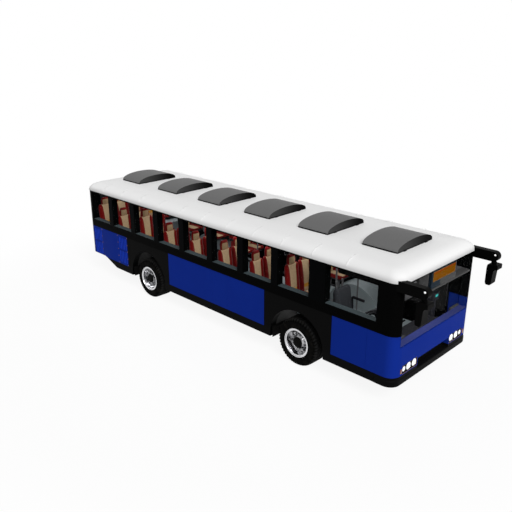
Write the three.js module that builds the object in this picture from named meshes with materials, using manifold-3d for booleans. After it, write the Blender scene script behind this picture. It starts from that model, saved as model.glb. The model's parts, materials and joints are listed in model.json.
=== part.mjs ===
// City bus: a single-deck, right-hand-drive midi bus with its shell, chassis, running gear and cabin.
// Millimetres. +X is forward, +Y is the bus's left (the door side) and +Z is up.
// The origin is on the ground, in the middle of the bus's length and width over its mirrors.
import * as THREE from "three";
import { mergeVertices } from "three/addons/utils/BufferGeometryUtils.js";
import Module from "manifold-3d";

const wasm = await Module();
wasm.setup();

// ---------- driving dimensions ----------

const LENGTH = 9100; // front face to rear face
const WIDTH = 2550; // over the roof cap
const MIRROR_REACH = 470; // how far the mirrors stand ahead of the front face
const WHEELBASE = 4560;
const FRONT_OVERHANG = 2080; // front face to the front axle
const SEAT_GAP = 0.3; // between two pieces that touch

// Wheels.
const TYRE_R = 462;
const TYRE_WIDTH = 435;
const TYRE_INSET = 20; // the tyres' outer sides lie this far inside the walls' skin
const RIM_R = 278; // rim flange
const WHEEL_SEGMENTS = 24;
const KINGPIN_OFFSET = 92.5; // tyre's middle to the kingpin
const STUB_R = 45;
const BORE_GAP = 1; // radial running gap in a hub

// The chassis and the cabin floor stand over the wheels.
const RIDE = 38; // wheel centre to the lower face of the rails
const RAIL_HEIGHT = 90;
const RAIL_WIDTH = 70;
const FLOOR_THICK = 30;
const ARCH_GAP = 183; // tyre to wheel arch
const HOUSING_WALL = 20; // wheel housing plate
const STEER_ROOM = 305; // a front tyre to its housing's inner face
const TYRE_ROOM = 105; // and a rear one
const PLATFORM_RISE = 510; // rear platform over the floor

// Heights of the shell above the ground.
const SKIRT_Z = 385; // lower edge of the skirts and bumper
const PANEL_Z = 555; // lower edge of the coloured panels
const BELT_Z = 1290; // top of the coloured panels
const SILL_Z = 1470; // side window sills
const HEAD_Z = 2165; // top of the side windows
const CAP_Z = 2200; // lower edge of the roof cap
const ROOF_Z = 2407; // top of the roof
const SCREEN_Z = 1100; // lower edge of the windscreen

// Shell.
const ROOF_OVERHANG = 15; // the roof cap stands this far out of the walls
const WALL = 150; // side, front and rear walls, lining included
const ROOF_THICK = 55;
const CORNER_R = 200; // plan radius of the walls at the four corners
const FRONT_PANEL = 363; // how far the front wall wraps round the sides
const REAR_PANEL = 207; // and the rear wall
const PANEL_PROUD = 4; // coloured panels stand this far out of the skirts and wheel surrounds
const SURROUND = 812; // half the length of the plain panel round a wheel
const GLASS_THICK = 8;
const GLASS_LAP = 18; // bonded glass overlaps its openings by this much

// Windows: one pitch along both sides.
const WINDOW_PITCH = 903;
const WINDOW_LENGTH = 742;
const FIRST_WINDOW = 1810; // front edge of the first passenger window, behind the front face
const WINDOW_R = 25;
const DRIVER_WINDOW = { from: 400, to: 1450 };

// Doors: two-leaf folding doors on the left side.
const DOOR_WIDTH = 940;
const DOOR_SILL_Z = 420;
const DOOR_HEAD_Z = 2125;
const LEAF_THICK = 44;
const LEAF_GAP = 6;
const DOOR_FRONTS = { front_door: 400, mid_door: 3680 }; // front jamb of each, behind the front face

// Roof hatches.
const HATCH_PITCH = 1456;
const FIRST_HATCH = 880; // middle of the front hatch, behind the front face
const HATCH_LENGTH = 700;
const HATCH_WIDTH = 1100;
const HATCH_RISE = 165;
const HATCH_SHELL = 16;
const COAMING = { length: 560, width: 880, wall: 30, height: 25 };

// Passenger seats: two on each side of the aisle.
const SEAT_WIDTH = 355;
const SEAT_SPACING = 365;
const CUSHION_RISE = 445; // cushion over the floor
const SEAT_ROWS = {
  right: { first: 2415, pitch: 917 }, // backrest of the first row, behind the front face
  left: { first: 2720, pitch: 936 },
};

// ---------- places worked out from them ----------

const FRONT = (LENGTH + ROOF_OVERHANG - MIRROR_REACH) / 2;
const REAR = FRONT - LENGTH;
const back = (distance) => FRONT - distance; // a station behind the front face
const SHELL_Y = WIDTH / 2 - ROOF_OVERHANG;
const CABIN_Y = SHELL_Y - WALL;
const FRONT_AXLE = back(FRONT_OVERHANG);
const REAR_AXLE = FRONT_AXLE - WHEELBASE;
const TYRE_FACE_Y = SHELL_Y - TYRE_INSET;
const TYRE_INNER_Y = TYRE_FACE_Y - TYRE_WIDTH;
const WHEEL_Y = TYRE_FACE_Y - TYRE_WIDTH / 2;
const KINGPIN_Y = WHEEL_Y - KINGPIN_OFFSET;
const RAIL_Z = TYRE_R + RIDE;
const FLOOR_UNDER = RAIL_Z + RAIL_HEIGHT;
const FLOOR_Z = FLOOR_UNDER + FLOOR_THICK;
const ARCH_R = TYRE_R + ARCH_GAP;
const HOUSING_R = ARCH_R + HOUSING_WALL;
const FRONT_HOUSING_Y = TYRE_INNER_Y - STEER_ROOM; // inner faces of the wheel housings
const REAR_HOUSING_Y = TYRE_INNER_Y - TYRE_ROOM;
const RAIL_Y = FRONT_HOUSING_Y - HOUSING_WALL - RAIL_WIDTH / 2 - 50; // middle of each chassis rail
const PLATFORM_Z = FLOOR_Z + PLATFORM_RISE;
const RISER = LENGTH - 890; // front of the rear platform, behind the front face
const FRONT_SEAM = back(FRONT_PANEL);
const REAR_SEAM = back(LENGTH - REAR_PANEL);
const SIDES = { right: -1, left: 1 };

// ---------- colours ----------

const PAINT = {
  blue: { color: 0x12287e, roughness: 0.35, metalness: 0.1 },
  white: { color: 0xf0f0f0, roughness: 0.3, metalness: 0 },
  black: { color: 0x0b0b0c, roughness: 0.4, metalness: 0 },
  dark: { color: 0x181818, roughness: 0.6, metalness: 0 },
  grey: { color: 0x989898, roughness: 0.7, metalness: 0 },
  smoke: { color: 0x6b6b6b, roughness: 0.3, metalness: 0 },
  rubber: { color: 0x101010, roughness: 0.9, metalness: 0 },
  chrome: { color: 0xc8c8c8, roughness: 0.15, metalness: 1 },
  iron: { color: 0x3a3a3a, roughness: 0.6, metalness: 0.8 },
  glass: { color: 0x20262a, roughness: 0.05, metalness: 0 },
  lamp: { color: 0xe8e8e8, roughness: 0.1, metalness: 0 },
  amber: { color: 0x7a4a00, roughness: 0.4, metalness: 0 },
  red: { color: 0x700000, roughness: 0.9, metalness: 0 },
};

// ---------- tools ----------

const PLANES = {
  plan: new THREE.Matrix4(), // outline in x, y; runs up Z
  side: new THREE.Matrix4().makeBasis(
    new THREE.Vector3(1, 0, 0),
    new THREE.Vector3(0, 0, 1),
    new THREE.Vector3(0, -1, 0),
  ), // outline in x, z; runs along Y
  section: new THREE.Matrix4().makeBasis(
    new THREE.Vector3(0, 1, 0),
    new THREE.Vector3(0, 0, 1),
    new THREE.Vector3(1, 0, 0),
  ), // outline in y, z; runs along X
};

function solid(geometry) {
  const bare = geometry.index ? geometry : geometry.clone();
  for (const name of ["normal", "uv"]) bare.deleteAttribute(name);
  const merged = mergeVertices(bare, 1e-3);
  return new wasm.Manifold(
    new wasm.Mesh({
      numProp: 3,
      vertProperties: merged.attributes.position.array,
      triVerts: new Uint32Array(merged.index.array),
    }),
  );
}

function geometryOf(body) {
  const { vertProperties, triVerts } = body.getMesh();
  const geometry = new THREE.BufferGeometry();
  geometry.setAttribute("position", new THREE.BufferAttribute(vertProperties, 3));
  geometry.setIndex(new THREE.BufferAttribute(triVerts, 1));
  const flat = geometry.toNonIndexed();
  flat.computeVertexNormals();
  return flat;
}

// An outline run along its plane's own axis, from one coordinate to the other.
function prism(outline, plane, from, to, curveSegments = 4) {
  const geometry = new THREE.ExtrudeGeometry(outline, {
    depth: to - from,
    bevelEnabled: false,
    curveSegments,
  });
  geometry.translate(0, 0, plane === "side" ? -to : from);
  return solid(geometry.applyMatrix4(PLANES[plane]));
}

function box([x0, x1], [y0, y1], [z0, z1]) {
  const geometry = new THREE.BoxGeometry(Math.abs(x1 - x0), Math.abs(y1 - y0), Math.abs(z1 - z0));
  return solid(geometry.translate((x0 + x1) / 2, (y0 + y1) / 2, (z0 + z1) / 2));
}

const AXIS_TURN = { x: ["rotateZ", Math.PI / 2], y: null, z: ["rotateX", Math.PI / 2] };

function cylinder(axis, radius, [x, y, z], length, segments = 16) {
  const geometry = new THREE.CylinderGeometry(radius, radius, length, segments);
  if (AXIS_TURN[axis]) geometry[AXIS_TURN[axis][0]](AXIS_TURN[axis][1]);
  return solid(geometry.translate(x, y, z));
}

// A closed profile of [radius, y] points turned about the Y axis; a flat's middle lies at the radius.
function turned(profile, segments = WHEEL_SEGMENTS) {
  const crown = 1 / Math.cos(Math.PI / segments);
  const points = profile.map(([radius, y]) => new THREE.Vector2(radius * crown, y));
  points.push(points[0].clone());
  const made = solid(new THREE.LatheGeometry(points, segments, Math.PI / segments));
  return made.volume() < 0 ? turned([...profile].reverse(), segments) : made;
}

function tube(points, radius, segments = 6) {
  const path = new THREE.CurvePath();
  for (let i = 1; i < points.length; i += 1)
    path.add(new THREE.LineCurve3(points[i - 1], points[i]));
  const ring = new THREE.Shape().absarc(0, 0, radius, 0, 2 * Math.PI, false);
  return solid(
    new THREE.ExtrudeGeometry(ring, {
      steps: points.length - 1,
      curveSegments: segments / 2,
      extrudePath: path,
    }),
  );
}

const join = (...bodies) => bodies.flat().reduce((sum, next) => sum.add(next));
const cut = (body, ...cutters) => cutters.flat().reduce((rest, next) => rest.subtract(next), body);

function polygon(points) {
  return new THREE.Shape(points.map(([x, y]) => new THREE.Vector2(x, y)));
}

function roundedRect(x0, y0, x1, y1, radius) {
  const shape = new THREE.Shape();
  shape.moveTo(x0 + radius, y0);
  shape.lineTo(x1 - radius, y0).absarc(x1 - radius, y0 + radius, radius, -Math.PI / 2, 0, false);
  shape.lineTo(x1, y1 - radius).absarc(x1 - radius, y1 - radius, radius, 0, Math.PI / 2, false);
  shape.lineTo(x0 + radius, y1).absarc(x0 + radius, y1 - radius, radius, Math.PI / 2, Math.PI, false);
  shape.lineTo(x0, y0 + radius).absarc(x0 + radius, y0 + radius, radius, Math.PI, 1.5 * Math.PI, false);
  return shape;
}

// Plan outline of the whole body, moved in by inset.
function planOutline(inset, radius = CORNER_R - inset) {
  return roundedRect(REAR + inset, -SHELL_Y + inset, FRONT - inset, SHELL_Y - inset, Math.max(radius, 10));
}

// Rings of equal point counts joined into one closed body, lowest first.
function loft(rings) {
  const count = rings[0].length;
  const positions = rings.flat().flatMap(({ x, y, z }) => [x, y, z]);
  const index = [];
  for (let level = 0; level + 1 < rings.length; level += 1)
    for (let i = 0; i < count; i += 1) {
      const next = (i + 1) % count;
      const [a, b] = [level * count + i, level * count + next];
      index.push(a, b, b + count, a, b + count, a + count);
    }
  const capFaces = THREE.ShapeUtils.triangulateShape(
    rings[0].map(({ x, y }) => new THREE.Vector2(x, y)),
    [],
  );
  const top = (rings.length - 1) * count;
  for (const [a, b, c] of capFaces) index.push(c, b, a, top + a, top + b, top + c);
  const geometry = new THREE.BufferGeometry();
  geometry.setAttribute("position", new THREE.Float32BufferAttribute(positions, 3));
  geometry.setIndex(index);
  return solid(geometry);
}

function planRing(inset, radius, z, arcSegments = 4) {
  const points = planOutline(inset, radius).getPoints(arcSegments);
  const ring = points.filter((p, i) => i === 0 || p.distanceTo(points[i - 1]) > 1e-3);
  if (ring[0].distanceTo(ring[ring.length - 1]) < 1e-3) ring.pop();
  return ring.map((p) => new THREE.Vector3(p.x, p.y, z));
}

const bus = new THREE.Group();

function add(name, body, paint, parent = bus) {
  const mesh = new THREE.Mesh(geometryOf(body), new THREE.MeshStandardMaterial(PAINT[paint]));
  mesh.name = name;
  parent.add(mesh);
  return mesh;
}

function groupAt(x, y, z) {
  const group = new THREE.Group();
  group.position.set(x, y, z);
  bus.add(group);
  return group;
}

// ---------- shell ----------

const doorSpan = (name) => [DOOR_FRONTS[name], DOOR_FRONTS[name] + DOOR_WIDTH];
const PILLAR = WINDOW_PITCH - WINDOW_LENGTH;
const lastWindow = LENGTH - REAR_PANEL - GLASS_LAP - WINDOW_LENGTH; // foremost edge it can have
const passengerWindows = Array.from(
  { length: Math.floor((lastWindow - FIRST_WINDOW) / WINDOW_PITCH) + 1 },
  (_, i) => [FIRST_WINDOW + i * WINDOW_PITCH, FIRST_WINDOW + i * WINDOW_PITCH + WINDOW_LENGTH],
);

// A window that the mid door reaches into starts behind the door's own pillar, if enough is left.
function clearOfDoor([from, to]) {
  const [doorFrom, doorTo] = doorSpan("mid_door");
  return from < doorTo + PILLAR && to > doorFrom ? [Math.max(from, doorTo + PILLAR), to] : [from, to];
}

// Spans behind the front face.
const SIDE_WINDOWS = {
  right: [[DRIVER_WINDOW.from, DRIVER_WINDOW.to], ...passengerWindows],
  left: passengerWindows.map(clearOfDoor).filter(([from, to]) => to - from > 6 * WINDOW_R),
};
const midDoorFront = DOOR_FRONTS.mid_door;
const GLAZING = {
  right_glazing: { side: "right", spans: SIDE_WINDOWS.right },
  left_front_glazing: { side: "left", spans: SIDE_WINDOWS.left.filter(([from]) => from < midDoorFront) },
  left_rear_glazing: { side: "left", spans: SIDE_WINDOWS.left.filter(([from]) => from > midDoorFront) },
};

const windowShape = ([from, to], grow = 0) =>
  roundedRect(back(to) - grow, SILL_Z - grow, back(from) + grow, HEAD_Z + grow, WINDOW_R + grow);
const glassShape = ({ spans }, grow) => windowShape([spans[0][0], spans[spans.length - 1][1]], grow);

// A range of y on one side of the bus.
const yRangeAt = (sign, inner, outer) => [sign * inner, sign * outer].sort((a, b) => a - b);
const yRange = (side, inner, outer) => yRangeAt(SIDES[side], inner, outer);

// The skirt's lower edge rises behind the rear wheels.
const TAIL_RISE = { from: LENGTH - 1130, to: LENGTH - 630, z: 580 };

function sideOutline() {
  const shape = new THREE.Shape();
  const front = FRONT_SEAM - SEAT_GAP;
  shape.moveTo(front, CAP_Z - SEAT_GAP).lineTo(REAR_SEAM, CAP_Z - SEAT_GAP);
  shape.lineTo(REAR_SEAM, TAIL_RISE.z).lineTo(back(TAIL_RISE.to), TAIL_RISE.z);
  shape.lineTo(back(TAIL_RISE.from), SKIRT_Z);
  const lift = Math.asin((SKIRT_Z - TYRE_R) / ARCH_R);
  for (const axle of [REAR_AXLE, FRONT_AXLE]) {
    shape.lineTo(axle - ARCH_R * Math.cos(lift), SKIRT_Z);
    shape.absarc(axle, TYRE_R, ARCH_R, Math.PI - lift, lift, true);
  }
  shape.lineTo(front, SKIRT_Z);
  return shape;
}

// Coloured panels lie between the wheel surrounds and stand proud of everything below the belt.
const PANEL_SPANS = [
  [0, FRONT_OVERHANG - SURROUND],
  [FRONT_OVERHANG + SURROUND, FRONT_OVERHANG + WHEELBASE - SURROUND],
  [FRONT_OVERHANG + WHEELBASE + SURROUND, LENGTH],
];
const PANEL_SEAMS = [550, 3908, 4375]; // joints in them, behind the front face
const SEAM = 4; // width and depth of a joint

// Upright louvres in the rear panel: each slat is a wedge sunk into the skin.
const VENT = { slats: 5, pitch: 66, width: 42, depth: 16, proud: 0.3 };
const VENT_COLUMNS = [LENGTH - 545, FRONT_OVERHANG + WHEELBASE + SURROUND + 20]; // front slat of each
const VENT_ROWS = [
  [600, 905],
  [945, 1240],
];

function ventSlots(side) {
  const skin = (SHELL_Y + VENT.proud) * SIDES[side];
  const floorY = (SHELL_Y - VENT.depth) * SIDES[side];
  return VENT_COLUMNS.flatMap((first) =>
    Array.from({ length: VENT.slats }, (_, i) => {
      const x = back(first + i * VENT.pitch);
      return polygon([
        [x, skin],
        [x - VENT.width, skin],
        [x - VENT.width, floorY],
      ]);
    }),
  ).flatMap((outline) => VENT_ROWS.map(([low, high]) => prism(outline, "plan", low, high)));
}

function skinRecess(side) {
  const skin = yRange(side, SHELL_Y - PANEL_PROUD, SHELL_Y + 10);
  const low = box([REAR - 10, FRONT + 10], skin, [0, BELT_Z]);
  const panels = PANEL_SPANS.map(([from, to]) => box([back(to), back(from)], skin, [PANEL_Z, BELT_Z + 10]));
  return cut(low, panels);
}

function sideWall(side) {
  const through = yRange(side, CABIN_Y - 10, SHELL_Y + 10);
  const rebate = yRange(side, SHELL_Y - GLASS_THICK, SHELL_Y + 10);
  const seam = yRange(side, SHELL_Y - SEAM, SHELL_Y + 10);
  let wall = prism(sideOutline(), "side", ...yRange(side, CABIN_Y, SHELL_Y), 8);
  for (const span of SIDE_WINDOWS[side]) wall = cut(wall, prism(windowShape(span), "side", ...through, 1));
  for (const strip of Object.values(GLAZING).filter((row) => row.side === side))
    wall = cut(wall, prism(glassShape(strip, GLASS_LAP), "side", ...rebate, 1));
  for (const distance of PANEL_SEAMS)
    wall = cut(wall, box([back(distance) - SEAM / 2, back(distance) + SEAM / 2], seam, [PANEL_Z, BELT_Z]));
  wall = cut(wall, skinRecess(side), ventSlots(side));
  if (side === "left")
    for (const name of Object.keys(DOOR_FRONTS)) {
      const [from, to] = doorSpan(name);
      wall = cut(wall, box([back(to), back(from)], through, [DOOR_SILL_Z, DOOR_HEAD_Z]));
    }
  return wall;
}

// The right wall is two panels that meet on the pillar behind the driver's window.
const DRIVER_BAY_END = (DRIVER_WINDOW.to + FIRST_WINDOW) / 2;

function rightWallPanels() {
  const wall = sideWall("right");
  const joint = back(DRIVER_BAY_END);
  const panel = (from, to) => wall.intersect(box([from, to], [-WIDTH, 0], [0, ROOF_Z]));
  return {
    driver_bay_wall: panel(joint + SEAT_GAP, FRONT + 10),
    right_side_wall: panel(REAR - 10, joint),
  };
}

function sideGlazing(strip) {
  const depth = yRange(strip.side, SHELL_Y - GLASS_THICK + SEAT_GAP, SHELL_Y);
  return prism(glassShape(strip, GLASS_LAP - SEAT_GAP), "side", ...depth, 1);
}

// The walls' plan section between two heights, kept on one end of the bus.
function endWall(end, bottom, top) {
  const shell = cut(
    prism(planOutline(0), "plan", bottom, top),
    prism(planOutline(WALL), "plan", bottom - 10, top + 10),
  );
  const span = end === "front" ? [FRONT_SEAM, FRONT + 10] : [REAR - 10, REAR_SEAM - SEAT_GAP];
  return shell.intersect(box(span, [-SHELL_Y - 10, SHELL_Y + 10], [0, ROOF_Z]));
}

// Openings of the front and rear walls: half width and heights.
const SCREEN = { halfWidth: 1100, from: SCREEN_Z, to: CAP_Z };
const REAR_WINDOW = { halfWidth: 980, from: 1450, to: 2110 };
const ENGINE_HATCH = { halfWidth: 880, from: 660, to: PLATFORM_Z - 40, thick: 60 };
const LAMP = { inner: 540, outer: 1000, from: PANEL_Z + 5, to: PANEL_Z + 170, depth: 90, sunk: 12 };
const LAMP_BOWLS = [
  // share of the lamp's width from its inner end, and radius
  [0.19, 66],
  [0.56, 66],
  [0.87, 44],
];
const TAIL_LAMP = { inner: 925, outer: 1050, from: 700, to: 1060, depth: 18 };
const NOSE_RECESS = { halfWidth: 530, from: SKIRT_Z + 115, to: 690, depth: 120 };
const SHELF = { from: 1806, to: 1836, depth: 260 }; // header shelf behind the windscreen

const noseRecess = () =>
  box(
    [FRONT - NOSE_RECESS.depth, FRONT + 10],
    [-NOSE_RECESS.halfWidth, NOSE_RECESS.halfWidth],
    [NOSE_RECESS.from, NOSE_RECESS.to],
  );

// Glass bonded into a rebate of an end wall, following its plan curve.
function endGlass(end, { halfWidth, from, to }, grow, inset, outset = 0) {
  const span = end === "front" ? [FRONT - WALL - 100, FRONT + 10] : [REAR - 10, REAR + WALL + 100];
  return cut(
    prism(planOutline(-outset), "plan", from - grow, to + grow),
    prism(planOutline(inset), "plan", from - 100, to + 100),
  ).intersect(box(span, [-halfWidth - grow, halfWidth + grow], [from - grow, to + grow]));
}

function frontWall() {
  const { halfWidth, from } = SCREEN;
  const shelfReach = CABIN_Y - SEAT_GAP;
  const levels = [SHELF.from, SHELF.to];
  const shelf = join(
    box([FRONT - WALL - SHELF.depth, FRONT - WALL + 10], [-shelfReach, shelfReach], levels),
    box([FRONT_SEAM, FRONT - WALL], [-CABIN_Y - 10, CABIN_Y + 10], levels),
  );
  const pockets = Object.values(SIDES).map((side) =>
    box([FRONT - LAMP.depth, FRONT + 10], [LAMP.inner * side, LAMP.outer * side], [LAMP.from, LAMP.to]),
  );
  return cut(
    join(endWall("front", PANEL_Z + SEAT_GAP, CAP_Z - SEAT_GAP), shelf),
    box([FRONT - WALL - 10, FRONT + 10], [-halfWidth, halfWidth], [from, CAP_Z + 10]).subtract(
      box([FRONT - WALL - 20, FRONT - WALL + 60], [-halfWidth - 10, halfWidth + 10], [SHELF.from, SHELF.to]),
    ),
    endGlass("front", { ...SCREEN, to: CAP_Z + 100 }, GLASS_LAP, GLASS_THICK, 10),
    noseRecess(),
    pockets,
  );
}

function windscreen() {
  const edge = { ...SCREEN, to: CAP_Z - GLASS_LAP - SEAT_GAP };
  return endGlass("front", edge, GLASS_LAP - SEAT_GAP, GLASS_THICK - SEAT_GAP);
}

// A rounded chin runs along the lower half of the bumper.
const CHIN = { proud: 8, round: 12, height: 115 };

function frontBumper() {
  const { proud, round, height } = CHIN;
  const levels = [
    [0, SKIRT_Z],
    [-proud, SKIRT_Z + round],
    [-proud, SKIRT_Z + height - round],
    [0, SKIRT_Z + height],
  ];
  const chin = cut(
    loft(levels.map(([inset, z]) => planRing(inset, CORNER_R - inset, z))),
    prism(planOutline(WALL), "plan", 0, BELT_Z),
  ).intersect(box([FRONT_SEAM, FRONT + proud], [-WIDTH, WIDTH], [0, BELT_Z]));
  return cut(join(endWall("front", SKIRT_Z, PANEL_Z), chin), noseRecess());
}

function headlight(side) {
  const [y0, y1] = [LAMP.inner + SEAT_GAP, LAMP.outer - SEAT_GAP];
  const face = FRONT - LAMP.sunk;
  const middle = (LAMP.from + LAMP.to) / 2 + 6;
  const lamp = box(
    [FRONT - LAMP.depth + SEAT_GAP, face],
    yRange(side, y0, y1),
    [LAMP.from + SEAT_GAP, LAMP.to - SEAT_GAP],
  );
  const bowls = LAMP_BOWLS.map(([share, radius]) =>
    cylinder("x", radius, [face, SIDES[side] * (y0 + (y1 - y0) * share), middle], 70, 14),
  );
  return cut(lamp, bowls);
}

function rearWall() {
  const { halfWidth, from, to } = REAR_WINDOW;
  const through = [REAR - 10, REAR + WALL + 10];
  const lampPockets = Object.values(SIDES).map((sign) =>
    box([REAR - 10, REAR + TAIL_LAMP.depth], yRangeAt(sign, TAIL_LAMP.inner, TAIL_LAMP.outer), [
      TAIL_LAMP.from,
      TAIL_LAMP.to,
    ]),
  );
  return cut(
    endWall("rear", TAIL_RISE.z, CAP_Z - SEAT_GAP),
    box(through, [-halfWidth, halfWidth], [from, to]),
    box(through, [-ENGINE_HATCH.halfWidth, ENGINE_HATCH.halfWidth], [ENGINE_HATCH.from, ENGINE_HATCH.to]),
    endGlass("rear", REAR_WINDOW, GLASS_LAP, GLASS_THICK, 10),
    lampPockets,
  );
}

// The engine lid hangs from the top of its opening; its grille is a row of inclined blades.
const LID = { gap: 6, frame: 62, blades: 7, bladeThick: 9, bladeDrop: 26, inset: 4, post: 30 };

function engineLid() {
  const halfWidth = ENGINE_HATCH.halfWidth - LID.gap;
  const [low, high] = [ENGINE_HATCH.from + LID.gap, ENGINE_HATCH.to - SEAT_GAP];
  const inner = halfWidth - LID.frame;
  const [grilleLow, grilleHigh] = [low + LID.frame, high - LID.frame];
  const lid = cut(
    box([REAR, REAR + ENGINE_HATCH.thick], [-halfWidth, halfWidth], [low, high]),
    box([REAR - 10, REAR + ENGINE_HATCH.thick + 10], [-inner, inner], [grilleLow, grilleHigh]),
  );
  const step = (grilleHigh - grilleLow) / LID.blades;
  const [x0, x1] = [REAR + LID.inset, REAR + ENGINE_HATCH.thick - LID.inset];
  const blades = Array.from({ length: LID.blades }, (_, i) => {
    const z = grilleLow + step * (i + 0.5) - LID.bladeDrop / 2;
    const outline = polygon([
      [x0, z],
      [x1, z + LID.bladeDrop],
      [x1, z + LID.bladeDrop + LID.bladeThick],
      [x0, z + LID.bladeThick],
    ]);
    return prism(outline, "side", -inner - 5, inner + 5);
  });
  const posts = [-1, 1].map((sign) =>
    box([x0, x1], [(sign * inner) / 3 - LID.post / 2, (sign * inner) / 3 + LID.post / 2], [
      grilleLow - 5,
      grilleHigh + 5,
    ]),
  );
  return join(lid, blades, posts);
}

// Roof cap: its edge rolls over through a quarter ellipse to a flat top.
const ROOF_EDGE = { inset: 290, rise: 187, cornerShare: 0.35, topInset: 500, topRadius: 60 };

function roofForm(under, bottom, steps) {
  const rings = [planRing(-ROOF_OVERHANG + under, CORNER_R + ROOF_OVERHANG - under, bottom)];
  for (let step = under ? 0 : 1; step <= steps; step += 1) {
    const angle = (step / steps) * (Math.PI / 2);
    const inset = ROOF_EDGE.inset * (1 - Math.cos(angle));
    const z = CAP_Z + (ROOF_EDGE.rise - under) * Math.sin(angle);
    const radius = CORNER_R + ROOF_OVERHANG - under - ROOF_EDGE.cornerShare * inset;
    rings.push(planRing(inset - ROOF_OVERHANG + under, radius, z));
  }
  rings.push(planRing(ROOF_EDGE.topInset + under, ROOF_EDGE.topRadius, ROOF_Z - under));
  return loft(rings);
}

const HATCH_COUNT = Math.floor((LENGTH - 2 * FIRST_HATCH) / HATCH_PITCH) + 1;
const hatches = Array.from({ length: HATCH_COUNT }, (_, i) => back(FIRST_HATCH + i * HATCH_PITCH));

function roof() {
  let shell = cut(roofForm(0, CAP_Z, 5), roofForm(ROOF_THICK, CAP_Z - 40, 3));
  const [halfLength, halfWidth] = [COAMING.length / 2, COAMING.width / 2];
  const [outLength, outWidth] = [halfLength + COAMING.wall, halfWidth + COAMING.wall];
  const levels = [ROOF_Z - ROOF_THICK, ROOF_Z + COAMING.height];
  for (const x of hatches) {
    const coaming = box([x - outLength, x + outLength], [-outWidth, outWidth], levels);
    const opening = box([x - halfLength, x + halfLength], [-halfWidth, halfWidth], [CAP_Z, ROOF_Z + 100]);
    shell = cut(join(shell, coaming), opening);
  }
  return shell;
}

// A barrel-vaulted lid, hinged along its front lower edge; its group stands on that edge.
const HATCH_LIP = 35; // upright foot of the vault

function vault(halfWidth, rise) {
  const shape = new THREE.Shape();
  shape.moveTo(-halfWidth, 0).lineTo(halfWidth, 0).lineTo(halfWidth, HATCH_LIP);
  shape.absellipse(0, HATCH_LIP, halfWidth, rise - HATCH_LIP, 0, Math.PI, false, 0);
  return shape.lineTo(-halfWidth, 0);
}

function hatchLid() {
  const outer = vault(HATCH_WIDTH / 2, HATCH_RISE);
  const inner = vault(HATCH_WIDTH / 2 - HATCH_SHELL, HATCH_RISE - HATCH_SHELL);
  return cut(
    prism(outer, "section", -HATCH_LENGTH, 0, 7),
    prism(inner, "section", -HATCH_LENGTH + HATCH_SHELL, -HATCH_SHELL, 7).translate(0, 0, -0.01),
  );
}

// ---------- folding doors ----------

const LEAF_HINGE = { offset: 30, barrel: 6, length: 90, count: 3 };
const LEAF_PIN_R = 12;
const DOOR_PLANE = SHELL_Y - LEAF_THICK / 2;
const LEAF_END = LEAF_GAP + LEAF_THICK / 2; // jamb to the leaf's end axis
const LEAF_LENGTH = (DOOR_WIDTH - 2 * LEAF_END) / 2; // between a leaf's two axes
const LEAF_WINDOW = { side: 75, from: 800, to: 2020, radius: 30 };

// Both leaves lie along X and end in a round nose; direction +1 has the nose in front.
function leafPanel(direction) {
  const [low, high] = [DOOR_SILL_Z + LEAF_GAP, DOOR_HEAD_Z - LEAF_GAP];
  const r = LEAF_THICK / 2;
  const straight = LEAF_LENGTH - LEAF_GAP / 2;
  const plan = new THREE.Shape();
  plan.moveTo(0, r).lineTo(-straight * direction, r).lineTo(-straight * direction, -r).lineTo(0, -r);
  plan.absarc(0, 0, r, -Math.PI / 2, Math.PI / 2, direction < 0);
  const window = roundedRect(
    -straight + LEAF_WINDOW.side,
    LEAF_WINDOW.from,
    -LEAF_WINDOW.side + r,
    LEAF_WINDOW.to,
    LEAF_WINDOW.radius,
  );
  const opening = prism(window, "side", -LEAF_THICK, LEAF_THICK, 1);
  const pins = [
    [low, DOOR_SILL_Z + SEAT_GAP],
    [high, DOOR_HEAD_Z - SEAT_GAP],
  ].map(([from, to]) => cylinder("z", LEAF_PIN_R, [0, 0, (from + to) / 2], Math.abs(to - from) + 0.1, 6));
  const panel = prism(plan, "plan", low, high, 3);
  return join(cut(panel, direction > 0 ? opening : opening.mirror([1, 0, 0])), pins);
}

// Hinge barrels between the leaves, on their cabin side; each leaf has every other one.
function leafBarrels(leafIndex, direction) {
  const x = -LEAF_LENGTH * direction;
  const [low, high] = [DOOR_SILL_Z + 150, DOOR_HEAD_Z - 150];
  const pitch = (high - low) / (LEAF_HINGE.count - 1);
  return Array.from({ length: LEAF_HINGE.count }, (_, i) => {
    const z = low + i * pitch + (leafIndex ? 0.5 : -0.5) * (LEAF_HINGE.length + SEAT_GAP);
    const barrel = cylinder("z", LEAF_HINGE.barrel, [x, -LEAF_HINGE.offset, z], LEAF_HINGE.length, 6);
    const tab = box(
      [x, x + 24 * direction],
      [-LEAF_HINGE.offset - 3, -LEAF_THICK / 2 + 2],
      [z - LEAF_HINGE.length / 2, z + LEAF_HINGE.length / 2],
    );
    const reach = box([x, x + 24 * direction], [-LEAF_THICK / 2 + 2, LEAF_THICK], [0, ROOF_Z]);
    return join(barrel, cut(tab, reach));
  });
}

// ---------- running gear ----------

const BEAD_R = RIM_R - 22;

// Half of the tyre's section: radius and distance from its middle plane.
const TYRE_SECTION = [
  [BEAD_R, 0.46 * TYRE_WIDTH],
  [RIM_R + 90, 0.5 * TYRE_WIDTH],
  [TYRE_R - 30, 0.475 * TYRE_WIDTH],
  [TYRE_R, 0.38 * TYRE_WIDTH],
];

function tyre() {
  const mirrored = [...TYRE_SECTION].reverse().map(([r, y]) => [r, -y]);
  return turned([...TYRE_SECTION, ...mirrored]);
}

// Kingpin boss on the beam's end, between the two lugs of the knuckle.
const BOSS = { radius: 42, height: 110 };
const LUG = { radius: 46, height: 32, webFrom: BOSS.radius + 8, web: 34 };

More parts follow.
